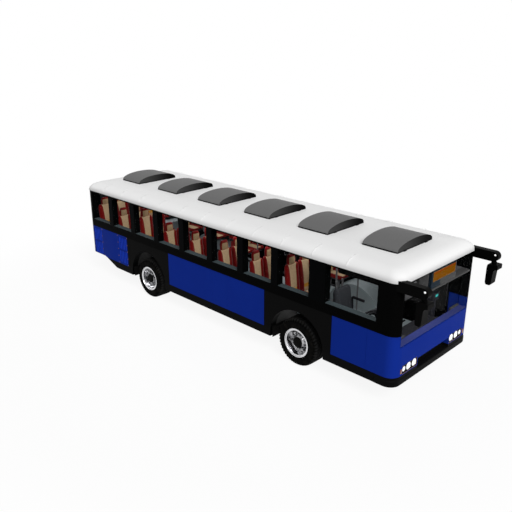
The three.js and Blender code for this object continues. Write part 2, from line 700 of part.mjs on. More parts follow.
// Outboard is +y here. The disc lies behind a deep dish and carries a hub with a blind bore.
const HUB_CLEARANCE = 6; // knuckle web to the hub
const HUB = {
  radius: 118,
  face: 165,
  bore: STUB_R + BORE_GAP,
  inner: KINGPIN_Y + LUG.webFrom + LUG.web + HUB_CLEARANCE - WHEEL_Y,
};
const HAND_HOLES = { count: 8, radius: 27, circle: 182 };
const RIM = { wall: 14, dish: 72, discThick: 24, lip: TYRE_WIDTH / 2, cap: 110 };

function rim() {
  const bed = BEAD_R - SEAT_GAP;
  const barrel = bed - RIM.wall;
  const seat = 0.46 * TYRE_WIDTH + 1; // the tyre's beads stand inside the flanges
  const flangeFoot = RIM.lip - 11;
  const profile = [
    [0, HUB.face],
    [HUB.radius - 14, HUB.face],
    [HUB.radius, HUB.face - 16],
    [HUB.radius + 60, RIM.dish],
    [barrel, RIM.dish + 12],
    [barrel, RIM.lip - 12],
    [RIM_R, RIM.lip],
    [RIM_R, flangeFoot],
    [bed, seat],
    [bed, -seat],
    [RIM_R, -flangeFoot],
    [RIM_R, -RIM.lip],
    [barrel, -RIM.lip + 12],
    [barrel, RIM.dish - RIM.discThick],
    [HUB.radius + 60, RIM.dish - RIM.discThick],
    [HUB.radius - 20, HUB.inner],
    [HUB.bore, HUB.inner],
    [HUB.bore, RIM.cap],
    [0, RIM.cap],
  ];
  const holes = Array.from({ length: HAND_HOLES.count }, (_, i) => {
    const angle = ((i + 0.5) / HAND_HOLES.count) * 2 * Math.PI;
    const place = [HAND_HOLES.circle * Math.cos(angle), RIM.dish - 12, HAND_HOLES.circle * Math.sin(angle)];
    return cylinder("y", HAND_HOLES.radius, place, 3 * RIM.discThick, 6);
  });
  return cut(turned(profile), holes);
}

function wheel(name, x, side) {
  const group = groupAt(x, WHEEL_Y * SIDES[side], TYRE_R);
  if (side === "right") group.rotation.z = Math.PI;
  add(name + "_tyre", tyre(), "rubber", group);
  add(name + "_rim", rim(), "chrome", group);
}

const FRONT_BEAM = { z: TYRE_R - 90, height: 84, width: 96, dropY: KINGPIN_Y - 370 };
const BELLOWS = { radius: 92, neck: 70, foot: 0.05 };

// An air spring stands on the axle and carries a chassis rail.
function bellows(x, y, from) {
  const to = RAIL_Z - SEAT_GAP + BELLOWS.foot;
  const height = to - from;
  const profile = [
    [0, 0],
    [BELLOWS.neck, 0],
    [BELLOWS.radius, height * 0.25],
    [BELLOWS.neck, height * 0.5],
    [BELLOWS.radius, height * 0.75],
    [BELLOWS.neck, height],
    [0, height],
  ].map(([r, z]) => new THREE.Vector2(r, z));
  const geometry = new THREE.LatheGeometry(profile, 8).rotateX(Math.PI / 2);
  return solid(geometry).translate(x, y, from - BELLOWS.foot);
}

function frontAxleBeam() {
  const { z, height, width, dropY } = FRONT_BEAM;
  const [x0, x1] = [FRONT_AXLE - width / 2, FRONT_AXLE + width / 2];
  const half = [
    [0, z - height / 2],
    [dropY, z - height / 2],
    [KINGPIN_Y - 60, TYRE_R - 40],
    [KINGPIN_Y, TYRE_R - 40],
    [KINGPIN_Y, TYRE_R + 40],
    [KINGPIN_Y - 60, TYRE_R + 40],
    [dropY - 40, z + height / 2],
    [0, z + height / 2],
  ];
  const mirrored = half.map(([y, up]) => [-y, up]).reverse();
  const beam = prism(polygon([...half, ...mirrored.slice(1, -1)]), "section", x0, x1);
  const bosses = Object.values(SIDES).map((side) =>
    cylinder("z", BOSS.radius, [FRONT_AXLE, side * KINGPIN_Y, TYRE_R], BOSS.height, 12),
  );
  const slim = Object.values(SIDES).map((side) => {
    const clear = cylinder("z", LUG.radius + 60, [FRONT_AXLE, side * KINGPIN_Y, TYRE_R], 400, 24);
    return cut(clear, box([x0 + 22, x1 - 22], [-SHELL_Y, SHELL_Y], [0, ROOF_Z]));
  });
  const springs = Object.values(SIDES).map((side) => bellows(FRONT_AXLE, side * RAIL_Y, z + height / 2));
  return join(cut(beam, slim), bosses, springs);
}

// Local to the kingpin, outboard +y: two lugs, the web that joins them, the stub and a steering arm.
function knuckle() {
  const lugZ = BOSS.height / 2 + SEAT_GAP + LUG.height / 2;
  const webY = LUG.webFrom;
  const lugs = [-1, 1].map((up) =>
    join(
      cylinder("z", LUG.radius, [0, 0, up * lugZ], LUG.height, 12),
      box([-34, 34], [0, webY + LUG.web], [up * lugZ - LUG.height / 2, up * lugZ + LUG.height / 2]),
    ),
  );
  const top = lugZ + LUG.height / 2;
  const web = box([-44, 44], [webY, webY + LUG.web], [-top, top]);
  const stubEnd = WHEEL_Y - KINGPIN_Y + 108;
  const stub = cylinder("y", STUB_R, [0, (webY + stubEnd) / 2, 0], stubEnd - webY, 12);
  const arm = box([-190, 0], [-16, 16], [-lugZ - LUG.height / 2, -lugZ + LUG.height / 2]);
  return join(lugs, web, stub, arm);
}

const REAR_AXLE_TUBE = { z: TYRE_R - 62, radius: 68, banjo: 165, caseY: TYRE_INNER_Y - 115, caseHalf: 50 };

function rearAxle() {
  const { z, radius, banjo, caseY, caseHalf } = REAR_AXLE_TUBE;
  const tubeBody = cylinder("y", radius, [REAR_AXLE, 0, z], 2 * caseY, 12);
  const housing = new THREE.SphereGeometry(banjo, 10, 6).scale(1, 0.85, 1);
  const saddles = Object.values(SIDES).map((side) => {
    const y = side * RAIL_Y;
    return join(
      box([REAR_AXLE - 400, REAR_AXLE + 400], [y - 50, y + 50], [z - 95, z - 45]),
      box([REAR_AXLE - 90, REAR_AXLE + 90], [y - 50, y + 50], [z - 95, z + 40]),
      bellows(REAR_AXLE - 320, y, z - 45),
      bellows(REAR_AXLE + 320, y, z - 45),
    );
  });
  const ends = Object.values(SIDES).map((side) => {
    const outline = roundedRect(REAR_AXLE - 95, z - 95, REAR_AXLE + 95, TYRE_R + 95, 60);
    const gearCase = prism(outline, "side", ...yRangeAt(side, caseY - caseHalf, caseY + caseHalf), 1);
    const stubEnd = WHEEL_Y + 108;
    const stub = cylinder(
      "y",
      STUB_R,
      [REAR_AXLE, (side * (caseY + stubEnd)) / 2, TYRE_R],
      stubEnd - caseY,
      12,
    );
    return join(gearCase, stub);
  });
  return join(tubeBody, solid(housing).translate(REAR_AXLE, 0, z), saddles, ends);
}

// ---------- chassis and floor ----------

// Everything inside the walls, whose inner corners are round.
const insideWalls = (body) =>
  body.intersect(prism(planOutline(WALL + SEAT_GAP), "plan", 0, ROOF_Z));

const CROSS = { length: 60, height: 70, fromAxle: HOUSING_R + 60 };
const RAIL_ENDS = [WALL + 60, LENGTH - 240];
const TAIL_MEMBER = LENGTH - 540;
const REAR_AXLE_STATION = FRONT_OVERHANG + WHEELBASE;
const middleBay = [FRONT_OVERHANG + CROSS.fromAxle, REAR_AXLE_STATION - CROSS.fromAxle];
const CROSS_MEMBERS = [
  RAIL_ENDS[0] + 190,
  FRONT_OVERHANG - CROSS.fromAxle,
  ...[0, 1, 2, 3].map((i) => THREE.MathUtils.lerp(...middleBay, i / 3)),
  REAR_AXLE_STATION + CROSS.fromAxle,
  RISER - 60,
  TAIL_MEMBER,
];
const JACK = { length: 140, thick: 12, fromAxle: 900 };

function underframe() {
  const top = FLOOR_UNDER - SEAT_GAP;
  const railRange = (sign) => yRangeAt(sign, RAIL_Y - RAIL_WIDTH / 2, RAIL_Y + RAIL_WIDTH / 2);
  const jackStations = [FRONT_OVERHANG + JACK.fromAxle, REAR_AXLE_STATION - JACK.fromAxle];
  const rails = Object.values(SIDES).flatMap((sign) => [
    box(RAIL_ENDS.map(back), railRange(sign), [RAIL_Z, top]),
    ...jackStations.map((distance) =>
      box([back(distance + JACK.length / 2), back(distance - JACK.length / 2)], railRange(sign), [
        RAIL_Z - JACK.thick,
        RAIL_Z + 1,
      ]),
    ),
  ]);
  const members = CROSS_MEMBERS.map((distance) => {
    const x = back(distance);
    const reach = CABIN_Y - SEAT_GAP;
    const beside = Object.keys(DOOR_FRONTS).some((name) => {
      const [from, to] = doorSpan(name);
      return distance > from - CROSS.length && distance < to + CROSS.length;
    });
    return box([x - CROSS.length / 2, x + CROSS.length / 2], [-reach, beside ? RAIL_Y : reach], [
      top - CROSS.height,
      top,
    ]);
  });
  return join(rails, members);
}

// Arched outline over an axle, from the floor's underside up.
function archOutline(axle, radius) {
  const outline = new THREE.Shape();
  const lift = Math.asin((FLOOR_UNDER - TYRE_R) / radius);
  const half = radius * Math.cos(lift);
  outline.moveTo(axle - half, FLOOR_UNDER).lineTo(axle + half, FLOOR_UNDER);
  return outline.absarc(axle, TYRE_R, radius, lift, Math.PI - lift, false);
}

const HOUSINGS = ["right", "left"].flatMap((side) => [
  { name: "front_" + side + "_wheel_housing", side, axle: FRONT_AXLE, innerY: FRONT_HOUSING_Y },
  { name: "rear_" + side + "_wheel_housing", side, axle: REAR_AXLE, innerY: REAR_HOUSING_Y },
]);

// An arched plate over the wheel, closed on its cabin side and stiffened by a pressed rib.
const HOUSING_RIB = { width: 60, height: 8 };
const ARCH_FACETS = 6; // curve segments, two facets each

function wheelHousing({ side, axle, innerY }) {
  const outer = CABIN_Y - SEAT_GAP;
  const face = innerY - HOUSING_WALL;
  const plate = prism(archOutline(axle, HOUSING_R), "side", ...yRange(side, face, outer), ARCH_FACETS);
  const space = prism(archOutline(axle, ARCH_R), "side", ...yRange(side, innerY, outer + 10), ARCH_FACETS);
  const ribY = (face + outer) / 2;
  const rib = prism(
    archOutline(axle, HOUSING_R + HOUSING_RIB.height),
    "side",
    ...yRange(side, ribY - HOUSING_RIB.width / 2, ribY + HOUSING_RIB.width / 2),
    ARCH_FACETS,
  ).intersect(box([REAR, FRONT], [-SHELL_Y, SHELL_Y], [FLOOR_Z + SEAT_GAP, ROOF_Z]));
  return cut(join(plate, rib), space.translate(0, 0, -0.01));
}

const STEP = { depth: 340, plate: 20, wall: 20, jamb: 40 };
const BAY_Y = 720; // half width of the gap in the floor over the engine
const FLOOR_SPAN = [back(LENGTH - WALL) + SEAT_GAP, back(WALL) - SEAT_GAP];

// The cabin floor, with a step well inside each door.
function floor() {
  const reach = CABIN_Y - SEAT_GAP;
  let plate = box(FLOOR_SPAN, [-reach, reach], [FLOOR_UNDER, FLOOR_Z]);
  for (const name of Object.keys(DOOR_FRONTS)) {
    const [front, rear] = doorSpan(name).map(back);
    const [outside, inside] = [STEP.jamb - STEP.wall, STEP.jamb];
    const wellY = reach - STEP.depth;
    const well = box([rear + outside, front - outside], [wellY - STEP.wall, reach], [
      DOOR_SILL_Z - STEP.plate,
      FLOOR_Z,
    ]);
    const space = box([rear + inside, front - inside], [wellY, reach + 10], [DOOR_SILL_Z, FLOOR_Z + 10]);
    plate = cut(join(plate, well), space);
  }
  const places = HOUSINGS.map(({ side, axle, innerY }) => {
    const range = yRange(side, innerY - HOUSING_WALL - SEAT_GAP, CABIN_Y + 10);
    const outline = archOutline(axle, HOUSING_R + SEAT_GAP);
    return prism(outline, "side", ...range, ARCH_FACETS).translate(0, 0, -0.01);
  });
  const bay = box([FLOOR_SPAN[0] - 10, back(RISER)], [-BAY_Y, BAY_Y], [FLOOR_UNDER - 10, FLOOR_Z + 10]);
  return insideWalls(cut(plate, places, bay));
}

// The raised deck over the engine and its riser; a lip stands along the riser's edge.
const DECK = { plate: 25, nosing: 12 };

function rearPlatform() {
  const reach = CABIN_Y - SEAT_GAP;
  const x = back(RISER);
  const outline = polygon([
    [x + DECK.plate, FLOOR_Z + SEAT_GAP],
    [x + DECK.plate, PLATFORM_Z - DECK.plate],
    [x + DECK.plate + DECK.nosing, PLATFORM_Z - DECK.plate],
    [x + DECK.plate + DECK.nosing, PLATFORM_Z],
    [FLOOR_SPAN[0], PLATFORM_Z],
    [FLOOR_SPAN[0], PLATFORM_Z - DECK.plate],
    [x, PLATFORM_Z - DECK.plate],
    [x, FLOOR_Z + SEAT_GAP],
  ]);
  return insideWalls(prism(outline, "side", -reach, reach));
}

const ENGINE = {
  from: TAIL_MEMBER + CROSS.length / 2 + SEAT_GAP,
  to: LENGTH - 180,
  halfWidth: RAIL_Y - RAIL_WIDTH / 2 - 30,
  low: RAIL_Z - 30,
  high: PLATFORM_Z - 70,
};

// ---------- cabin ----------

// The side view of one seat, with the front of its backrest's foot at x = 0; it faces +x.
const SEAT = { depth: 380, thick: 90, back: 610, lean: 75, backThick: 85, topThick: 60 };
const HEADREST = { width: 210, height: 185, lean: 14, root: 60 };

function seatOutline(z) {
  const { depth, thick, lean, backThick, topThick } = SEAT;
  const shoulder = z + SEAT.back;
  return polygon([
    [-backThick, z - thick],
    [depth - 25, z - thick],
    [depth, z - thick / 2],
    [depth - 20, z],
    [0, z - 8],
    [-lean, shoulder - 20],
    [-lean - topThick / 2, shoulder],
    [-lean - topThick, shoulder - 20],
    [-backThick, z],
  ]);
}

function headrestOutline(z) {
  const root = z + SEAT.back - HEADREST.root;
  const tip = z + SEAT.back + HEADREST.height;
  const [front, rear] = [-SEAT.lean - 4, -SEAT.lean - SEAT.topThick + 4];
  const lean = HEADREST.lean;
  return polygon([
    [rear, root],
    [front, root],
    [front - lean, tip - 22],
    [(front + rear) / 2 - lean, tip],
    [rear - lean, tip - 22],
  ]);
}

// One seat between two values of y.
function seat(z, [y0, y1]) {
  const middle = (y0 + y1) / 2;
  const head = [middle - HEADREST.width / 2, middle + HEADREST.width / 2];
  return join(prism(seatOutline(z), "side", y0, y1), prism(headrestOutline(z), "side", ...head));
}

const CUSHION_Z = FLOOR_Z + CUSHION_RISE;
const HOUSING_TOP = TYRE_R + HOUSING_R + HOUSING_RIB.height;
const BOXED_CUSHION_Z = HOUSING_TOP + SEAT_GAP + SEAT.thick;
const SEAT_OUTER_Y = CABIN_Y - 12;
const SEAT_INNER_Y = SEAT_OUTER_Y - SEAT_SPACING - SEAT_WIDTH;

// A row whose cushion would meet a wheel housing stands at the housing's height.
function cushionHeight(x) {
  const nearest = Math.min(
    ...[FRONT_AXLE, REAR_AXLE].map((axle) => Math.max(x - SEAT.backThick - axle, axle - x - SEAT.depth, 0)),
  );
  const reach = HOUSING_R + HOUSING_RIB.height;
  const arch = nearest < reach ? TYRE_R + Math.sqrt(reach ** 2 - nearest ** 2) : 0;
  return arch + SEAT.thick + 10 > CUSHION_Z ? BOXED_CUSHION_Z : CUSHION_Z;
}

const inDoorway = (x) => {
  const [from, to] = doorSpan("mid_door");
  return x + SEAT.depth > back(to) && x - SEAT.backThick - SEAT.lean < back(from);
};

function seatRows(side) {
  const { first, pitch } = SEAT_ROWS[side];
  const last = RISER - DECK.plate - DECK.nosing - SEAT.lean - SEAT.topThick;
  const count = Math.floor((last - first) / pitch) + 1;
  const stations = Array.from({ length: count }, (_, i) => back(first + i * pitch));
  return side === "left" ? stations.filter((x) => !inDoorway(x)) : stations;
}

const SEAT_LEG = { from: 30, to: 320, width: 36, foot: 60 };
const SEAT_RAIL = { width: 46, height: 22 };
const SEAT_BEAMS = { stations: [40, 280], length: 36, height: 30 };
const LEG_Y = SEAT_INNER_Y + 62;

function seatRow(x, side) {
  const z = cushionHeight(x);
  const underZ = z - SEAT.thick;
  const places = [0, 1].map((place) => {
    const y1 = SEAT_OUTER_Y - place * SEAT_SPACING;
    return seat(z, yRange(side, y1 - SEAT_WIDTH, y1)).translate(x, 0, 0);
  });
  const raised = z > CUSHION_Z; // its beams end inboard of the housing
  const beamEnd = raised ? FRONT_HOUSING_Y - HOUSING_WALL - 5 : CABIN_Y - SEAT_GAP;
  const beams = SEAT_BEAMS.stations.map((ahead) =>
    box([x + ahead, x + ahead + SEAT_BEAMS.length], yRange(side, SEAT_INNER_Y + 10, beamEnd), [
      underZ - SEAT_BEAMS.height,
      underZ + 5,
    ]),
  );
  const joinY = SEAT_OUTER_Y - SEAT_SPACING;
  const bridge = box([x + SEAT_LEG.from, x + SEAT_LEG.to], yRange(side, joinY - 20, joinY + 30), [
    underZ,
    underZ + 30,
  ]);
  const legY = yRange(side, LEG_Y - SEAT_LEG.width / 2, LEG_Y + SEAT_LEG.width / 2);
  const leg = prism(
    polygon([
      [x + SEAT_LEG.from, FLOOR_Z + SEAT_GAP],
      [x + SEAT_LEG.to, FLOOR_Z + SEAT_GAP],
      [x + SEAT_LEG.to - SEAT_LEG.foot, underZ + 5],
      [x + SEAT_LEG.from + SEAT_LEG.foot, underZ + 5],
    ]),
    "side",
    ...legY,
  );
  return join(places, beams, bridge, leg);
}

function seatBlock(side) {
  const rows = seatRows(side);
  const rail = box(
    [rows[rows.length - 1] + SEAT_LEG.from, rows[0] + SEAT_LEG.to],
    yRange(side, LEG_Y - SEAT_RAIL.width / 2, LEG_Y + SEAT_RAIL.width / 2),
    [FLOOR_Z + SEAT_GAP, FLOOR_Z + SEAT_RAIL.height],
  );
  return join(rows.map((x) => seatRow(x, side)), rail);
}

const BENCH = { places: 5, rise: 120, wallRoom: 25, gap: 10 };

function rearBench() {
  const x = back(LENGTH - WALL) + SEAT.lean + SEAT.topThick + BENCH.wallRoom;
  const z = PLATFORM_Z + BENCH.rise;
  const spacing = (2 * SEAT_OUTER_Y) / BENCH.places;
  const places = Array.from({ length: BENCH.places }, (_, i) => {
    const y0 = -SEAT_OUTER_Y + i * spacing;
    return seat(z, [y0 + BENCH.gap / 2, y0 + spacing - BENCH.gap / 2]);
  });
  const reach = SEAT_OUTER_Y - spacing / 2;
  const plinth = box([-40, SEAT.depth - 90], [-reach, reach], [PLATFORM_Z + SEAT_GAP, z - SEAT.thick + 5]);
  return join(places, plinth).translate(x, 0, 0);
}

const DRIVER = {
  x: FRONT_OVERHANG - HOUSING_R + 65, // its base stands just ahead of the wheel housing
  y: -600,
  cushionZ: FLOOR_Z + 390,
  back: 535,
  width: 480,
};

function driverSeat() {
  const x = back(DRIVER.x);
  const shape = new THREE.Shape();
  const { cushionZ } = DRIVER;
  const top = cushionZ + DRIVER.back;
  shape.moveTo(0, cushionZ - 110).lineTo(430, cushionZ - 110);
  shape.absarc(430, cushionZ - 55, 55, -Math.PI / 2, Math.PI / 2, false);
  shape.lineTo(110, cushionZ - 5).lineTo(-10, top - 40);
  shape.absarc(-50, top - 40, 40, 0, Math.PI, false);
  shape.lineTo(-10, cushionZ);
  const seat = prism(shape, "side", DRIVER.y - DRIVER.width / 2, DRIVER.y + DRIVER.width / 2, 5);
  const column = box([120, 330], [DRIVER.y - 110, DRIVER.y + 110], [FLOOR_Z + SEAT_GAP + 30, cushionZ - 105]);
  const foot = box([60, 400], [DRIVER.y - 180, DRIVER.y + 180], [FLOOR_Z + SEAT_GAP, FLOOR_Z + 32]);
  return join(seat, column, foot).translate(x, 0, 0);
}

const WHEEL = { ahead: 860, z: FLOOR_Z + 670, radius: 220, rimR: 15, tilt: 30 };
const COLUMN_TOP = 60; // length of the wheel's hub along the column
const COLUMN_LENGTH = 430; // wheel to the instrument binnacle

// Local to the wheel's centre with +z along the column towards the driver.
function steeringWheel() {
  const ring = solid(new THREE.TorusGeometry(WHEEL.radius, WHEEL.rimR, 6, 16));
  const spokes = [0, 1, 2].map((i) =>
    box([-16, 16], [-WHEEL.radius, 0], [-12, 8]).rotate([0, 0, i * 120]),
  );
  const hub = cylinder("z", 46, [0, 0, -COLUMN_TOP / 2 + 10], COLUMN_TOP, 14);
  return join(ring, spokes, hub);
}

const DASH = { front: WALL, depth: 330, from: -CABIN_Y, to: 330, low: FLOOR_Z + 240, high: SCREEN_Z - 15 };

function dashboard() {
  const x1 = back(DASH.front) - SEAT_GAP;
  const outline = polygon([
    [x1, FLOOR_Z + SEAT_GAP],
    [x1, DASH.high + 10],
    [x1 - 160, DASH.high],
    [x1 - DASH.depth, DASH.high - 70],
    [x1 - DASH.depth, DASH.low],
    [x1 - 120, DASH.low - 60],
    [x1 - 120, FLOOR_Z + SEAT_GAP],
  ]);
  const body = prism(outline, "side", DASH.from + SEAT_GAP, DASH.to);
  const tilt = THREE.MathUtils.degToRad(WHEEL.tilt);
  const along = new THREE.Vector3(-Math.sin(tilt), 0, Math.cos(tilt));
  const centre = new THREE.Vector3(back(WHEEL.ahead), DRIVER.y, WHEEL.z);
  const top = centre.clone().addScaledVector(along, -COLUMN_TOP + 10 - SEAT_GAP);
  const bottom = centre.clone().addScaledVector(along, -COLUMN_LENGTH);
  const binnacle = box(
    [bottom.x - 50, x1 - DASH.depth + 20],
    [DRIVER.y - 120, DRIVER.y + 120],
    [bottom.z - 20, bottom.z + 110],
  );
  return insideWalls(join(body, binnacle, tube([bottom, top], 30, 12)));
}

const DISPLAY = { halfWidth: 370, centreY: 80, depth: 60, height: 190 };

function destinationDisplay() {
  const x1 = FRONT - WALL - 20;
  return box(
    [x1 - DISPLAY.depth, x1],
    [DISPLAY.centreY - DISPLAY.halfWidth, DISPLAY.centreY + DISPLAY.halfWidth],
    [SHELF.to + SEAT_GAP, SHELF.to + 130 + DISPLAY.height],
  );
}

// Rails under the roof along both sides of the aisle, on posts that stand beside the seats.
const HANDRAIL = {
  y: SEAT_INNER_Y - 28,
  z: 2140,
  radius: 17,
  from: DRIVER.x + 270, // behind the driver's seat
  to: LENGTH - 1050,
};
const POST_STATIONS = [HANDRAIL.from + 145, (HANDRAIL.from + HANDRAIL.to) / 2 - 250, HANDRAIL.to - 650];

function handrails() {
  const { y, z, radius } = HANDRAIL;
  const v = (distance, across, up) => new THREE.Vector3(back(distance), across, up);
  const rails = Object.values(SIDES).map((sign) =>
    tube([v(HANDRAIL.from, sign * y, z), v(HANDRAIL.to, sign * y, z)], radius),
  );
  const frames = POST_STATIONS.flatMap((distance) => [
    tube([v(distance, -y, z), v(distance, y, z)], radius * 0.9),
    ...Object.values(SIDES).map((sign) =>
      tube([v(distance, sign * y, FLOOR_Z + SEAT_GAP), v(distance, sign * y, z)], radius),
    ),
  ]);
  return join(rails, frames);
}

// ---------- mirrors ----------

const MIRROR_ARM = { y: 1110, width: 120, low: 2075, high: 2253, reach: 445 };
const MIRROR_HEAD = { top: 2030, hook: 1950, bottom: 1640, rear: 280, foot: 385, knee: 400, width: 180 };

// A box arm with a round end carries a head that hooks forward at its top.
function mirror(sign) {
  const { low, high, reach, y, width } = MIRROR_ARM;
  const nose = (high - low) / 2;
  const outline = new THREE.Shape();
  outline.moveTo(FRONT - 150, low).lineTo(FRONT + reach - nose, low);
  outline.absarc(FRONT + reach - nose, low + nose, nose, -Math.PI / 2, Math.PI / 2, false);
  outline.lineTo(FRONT - 150, high);
  const roofCap = prism(planOutline(-ROOF_OVERHANG - SEAT_GAP), "plan", CAP_Z - SEAT_GAP, ROOF_Z);
  const walls = prism(planOutline(-SEAT_GAP), "plan", 0, ROOF_Z);
  const arm = cut(prism(outline, "side", ...yRangeAt(sign, y, y + width), 6), roofCap, walls);
  const { top, hook, bottom, rear, foot, knee } = MIRROR_HEAD;
  const head = new THREE.Shape();
  head.moveTo(FRONT + rear, bottom + 20);
  head.lineTo(FRONT + rear + 20, bottom).lineTo(FRONT + foot - 20, bottom).lineTo(FRONT + foot, bottom + 25);
  head.lineTo(FRONT + knee, hook - 60);
  head.quadraticCurveTo(FRONT + knee + 10, hook, FRONT + MIRROR_REACH, hook);
  head.lineTo(FRONT + MIRROR_REACH, top - 10).lineTo(FRONT + MIRROR_REACH - 12, top);
  head.lineTo(FRONT + rear + 45, top).quadraticCurveTo(FRONT + rear, top, FRONT + rear, top - 45);
  const middle = y + width / 2;
  const neck = cylinder("z", 30, [FRONT + rear + 80, sign * middle, (top + low) / 2], low - top + 20, 12);
  const headRange = yRangeAt(sign, middle - MIRROR_HEAD.width / 2, middle + MIRROR_HEAD.width / 2);
  return join(arm, prism(head, "side", ...headRange, 4), neck);
}

// ---------- the bus ----------

add("underframe", underframe(), "dark");
add("floor", floor(), "grey");
for (const housing of HOUSINGS) add(housing.name, wheelHousing(housing), "grey");
add("rear_platform", rearPlatform(), "grey");
add("front_axle_beam", frontAxleBeam(), "iron");
add("rear_axle", rearAxle(), "iron");
add(
  "engine",
  box([back(ENGINE.to), back(ENGINE.from)], [-ENGINE.halfWidth, ENGINE.halfWidth], [ENGINE.low, ENGINE.high]),
  "iron",
);
for (const [side, sign] of Object.entries(SIDES)) {
  const kingpin = groupAt(FRONT_AXLE, sign * KINGPIN_Y, TYRE_R);
  add("knuckle_" + side, sign > 0 ? knuckle() : knuckle().mirror([0, 1, 0]), "iron", kingpin);
  wheel("front_" + side, FRONT_AXLE, side);
  wheel("rear_" + side, REAR_AXLE, side);
  add("headlight_" + side, headlight(side), "lamp");
  add("mirror_" + side, mirror(sign), "black");
  add(side + "_seats", seatBlock(side), "red");
}
for (const [name, panel] of Object.entries(rightWallPanels())) add(name, panel, "blue");
add("left_side_wall", sideWall("left"), "blue");
for (const [name, strip] of Object.entries(GLAZING)) add(name, sideGlazing(strip), "glass");
add("front_wall", frontWall(), "blue");
add("front_bumper", frontBumper(), "dark");
add("windscreen", windscreen(), "glass");
add("rear_wall", rearWall(), "blue");
add("rear_window", endGlass("rear", REAR_WINDOW, GLASS_LAP - SEAT_GAP, GLASS_THICK - SEAT_GAP), "glass");
add("engine_lid", engineLid(), "dark");
add("roof", roof(), "white");
for (const [i, x] of hatches.entries())
  add("roof_hatch_" + (i + 1), hatchLid(), "smoke", groupAt(x + HATCH_LENGTH / 2, 0, ROOF_Z + SEAT_GAP));
for (const name of Object.keys(DOOR_FRONTS)) {
  const [from, to] = doorSpan(name);
  const front = groupAt(back(from + LEAF_END), DOOR_PLANE, 0);
  add(name + "_front_leaf", join(leafPanel(1), leafBarrels(0, 1)), "black", front);
  const rear = groupAt(back(to - LEAF_END), DOOR_PLANE, 0);
  add(name + "_rear_leaf", join(leafPanel(-1), leafBarrels(1, -1)), "black", rear);
}
add("dashboard", dashboard(), "dark");
add("driver_seat", driverSeat(), "dark");
const steering = groupAt(back(WHEEL.ahead), DRIVER.y, WHEEL.z);
steering.rotation.y = -THREE.MathUtils.degToRad(WHEEL.tilt);
add("steering_wheel", steeringWheel(), "dark", steering);
add("rear_bench", rearBench(), "red");
add("destination_display", destinationDisplay(), "amber");
add("handrails", handrails(), "iron");

export default bus;
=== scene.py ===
"""City bus: paint, glass, trim, upholstery, lamps and fittings around the fixed frame."""

import json
import math

import bmesh
import bpy
from bpy.props import FloatProperty, FloatVectorProperty, IntProperty, PointerProperty
from mathutils import Matrix, Vector


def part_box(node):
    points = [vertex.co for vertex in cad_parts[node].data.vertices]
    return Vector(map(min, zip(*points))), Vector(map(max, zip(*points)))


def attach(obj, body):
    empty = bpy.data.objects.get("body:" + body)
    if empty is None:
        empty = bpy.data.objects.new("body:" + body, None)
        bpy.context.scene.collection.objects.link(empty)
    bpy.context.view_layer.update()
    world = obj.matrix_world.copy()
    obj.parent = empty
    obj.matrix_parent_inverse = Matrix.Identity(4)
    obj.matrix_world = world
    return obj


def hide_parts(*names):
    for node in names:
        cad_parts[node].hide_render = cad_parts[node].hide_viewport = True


bl_info = {
    "name": "City Bus Finish",
    "version": (1, 0, 0),
    "blender": (4, 5, 0),
    "location": "View3D > Sidebar > City Bus",
    "description": "Paint, glass, trim, seats and lamps for a midi city bus",
    "category": "Add Mesh",
}

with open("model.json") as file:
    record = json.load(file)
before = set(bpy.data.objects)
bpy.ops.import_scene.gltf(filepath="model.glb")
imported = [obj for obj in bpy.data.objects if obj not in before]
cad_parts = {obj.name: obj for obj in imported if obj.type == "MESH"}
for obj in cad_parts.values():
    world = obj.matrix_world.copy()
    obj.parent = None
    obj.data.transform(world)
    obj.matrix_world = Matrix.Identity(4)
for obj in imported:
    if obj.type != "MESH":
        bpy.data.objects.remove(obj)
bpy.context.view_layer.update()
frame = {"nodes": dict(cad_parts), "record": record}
MM = 0.001

# Driving sizes, from the frame; the bus faces +x and its left side is +y.
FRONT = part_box("front_wall")[1].x
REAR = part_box("rear_wall")[0].x
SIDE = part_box("left_side_wall")[1].y
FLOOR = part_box("floor")[1].z
HALF_LENGTH = (FRONT - REAR) / 2
MIDDLE = (FRONT + REAR) / 2
CORNER = 0.2  # plan radius of the body's corners
# Heights: foot of the blue panels, foot of the windscreen, top of the blue, foot and head of the side
# windows, foot of the roof and its crown.
PANEL, SCREEN, BELT, SILL, HEAD, CAP, ROOF = 0.555, 1.1, 1.29, 1.47, 2.165, 2.2, 2.407
WHEELS = ("front_right", "front_left", "rear_right", "rear_left")
SIGNS = {"right": -1, "left": 1}


def back(distance):
    """The x of a place so many millimetres behind the front face."""
    return FRONT - distance * MM


FRONT_AXLE_X, REAR_AXLE_X, AXLE_Z = back(2080), back(6640), 0.462
HOUSING_RADIUS = 0.645
VENT_COLUMNS = ((8555, 8910), (7460, 7810))  # side vents, behind the front face
VENT_ROWS = ((0.6, 0.905), (0.945, 1.24))
BLUE_SPANS = ((0, 1268), (2892, 5828), (7452, 9100))  # of each side, behind the front face


# ---------- colours, nodes and materials ----------

def linear(hex_colour, alpha=1.0):
    """A linear colour from an sRGB hex value."""
    digits = hex_colour.lstrip("#")
    channels = [int(digits[i:i + 2], 16) / 255 for i in (0, 2, 4)]
    curve = [c / 12.92 if c <= 0.04045 else ((c + 0.055) / 1.055) ** 2.4 for c in channels]
    return (*curve, alpha)


def connect(tree, node, values):
    """Inputs of a node, by name or number: each takes another node's output or a plain value."""
    for name, value in values.items():
        if isinstance(value, bpy.types.NodeSocket):
            tree.links.new(value, node.inputs[name])
        else:
            node.inputs[name].default_value = value


def add_node(tree, kind, *values, links=None, output=0, **settings):
    """One node with its settings and its inputs, in order or by name; gives one output, or all for None."""
    made = tree.nodes.new(kind)
    for name, value in settings.items():
        setattr(made, name, value)
    connect(tree, made, {**dict(enumerate(values)), **(links or {})})
    return made.outputs if output is None else made.outputs[output]


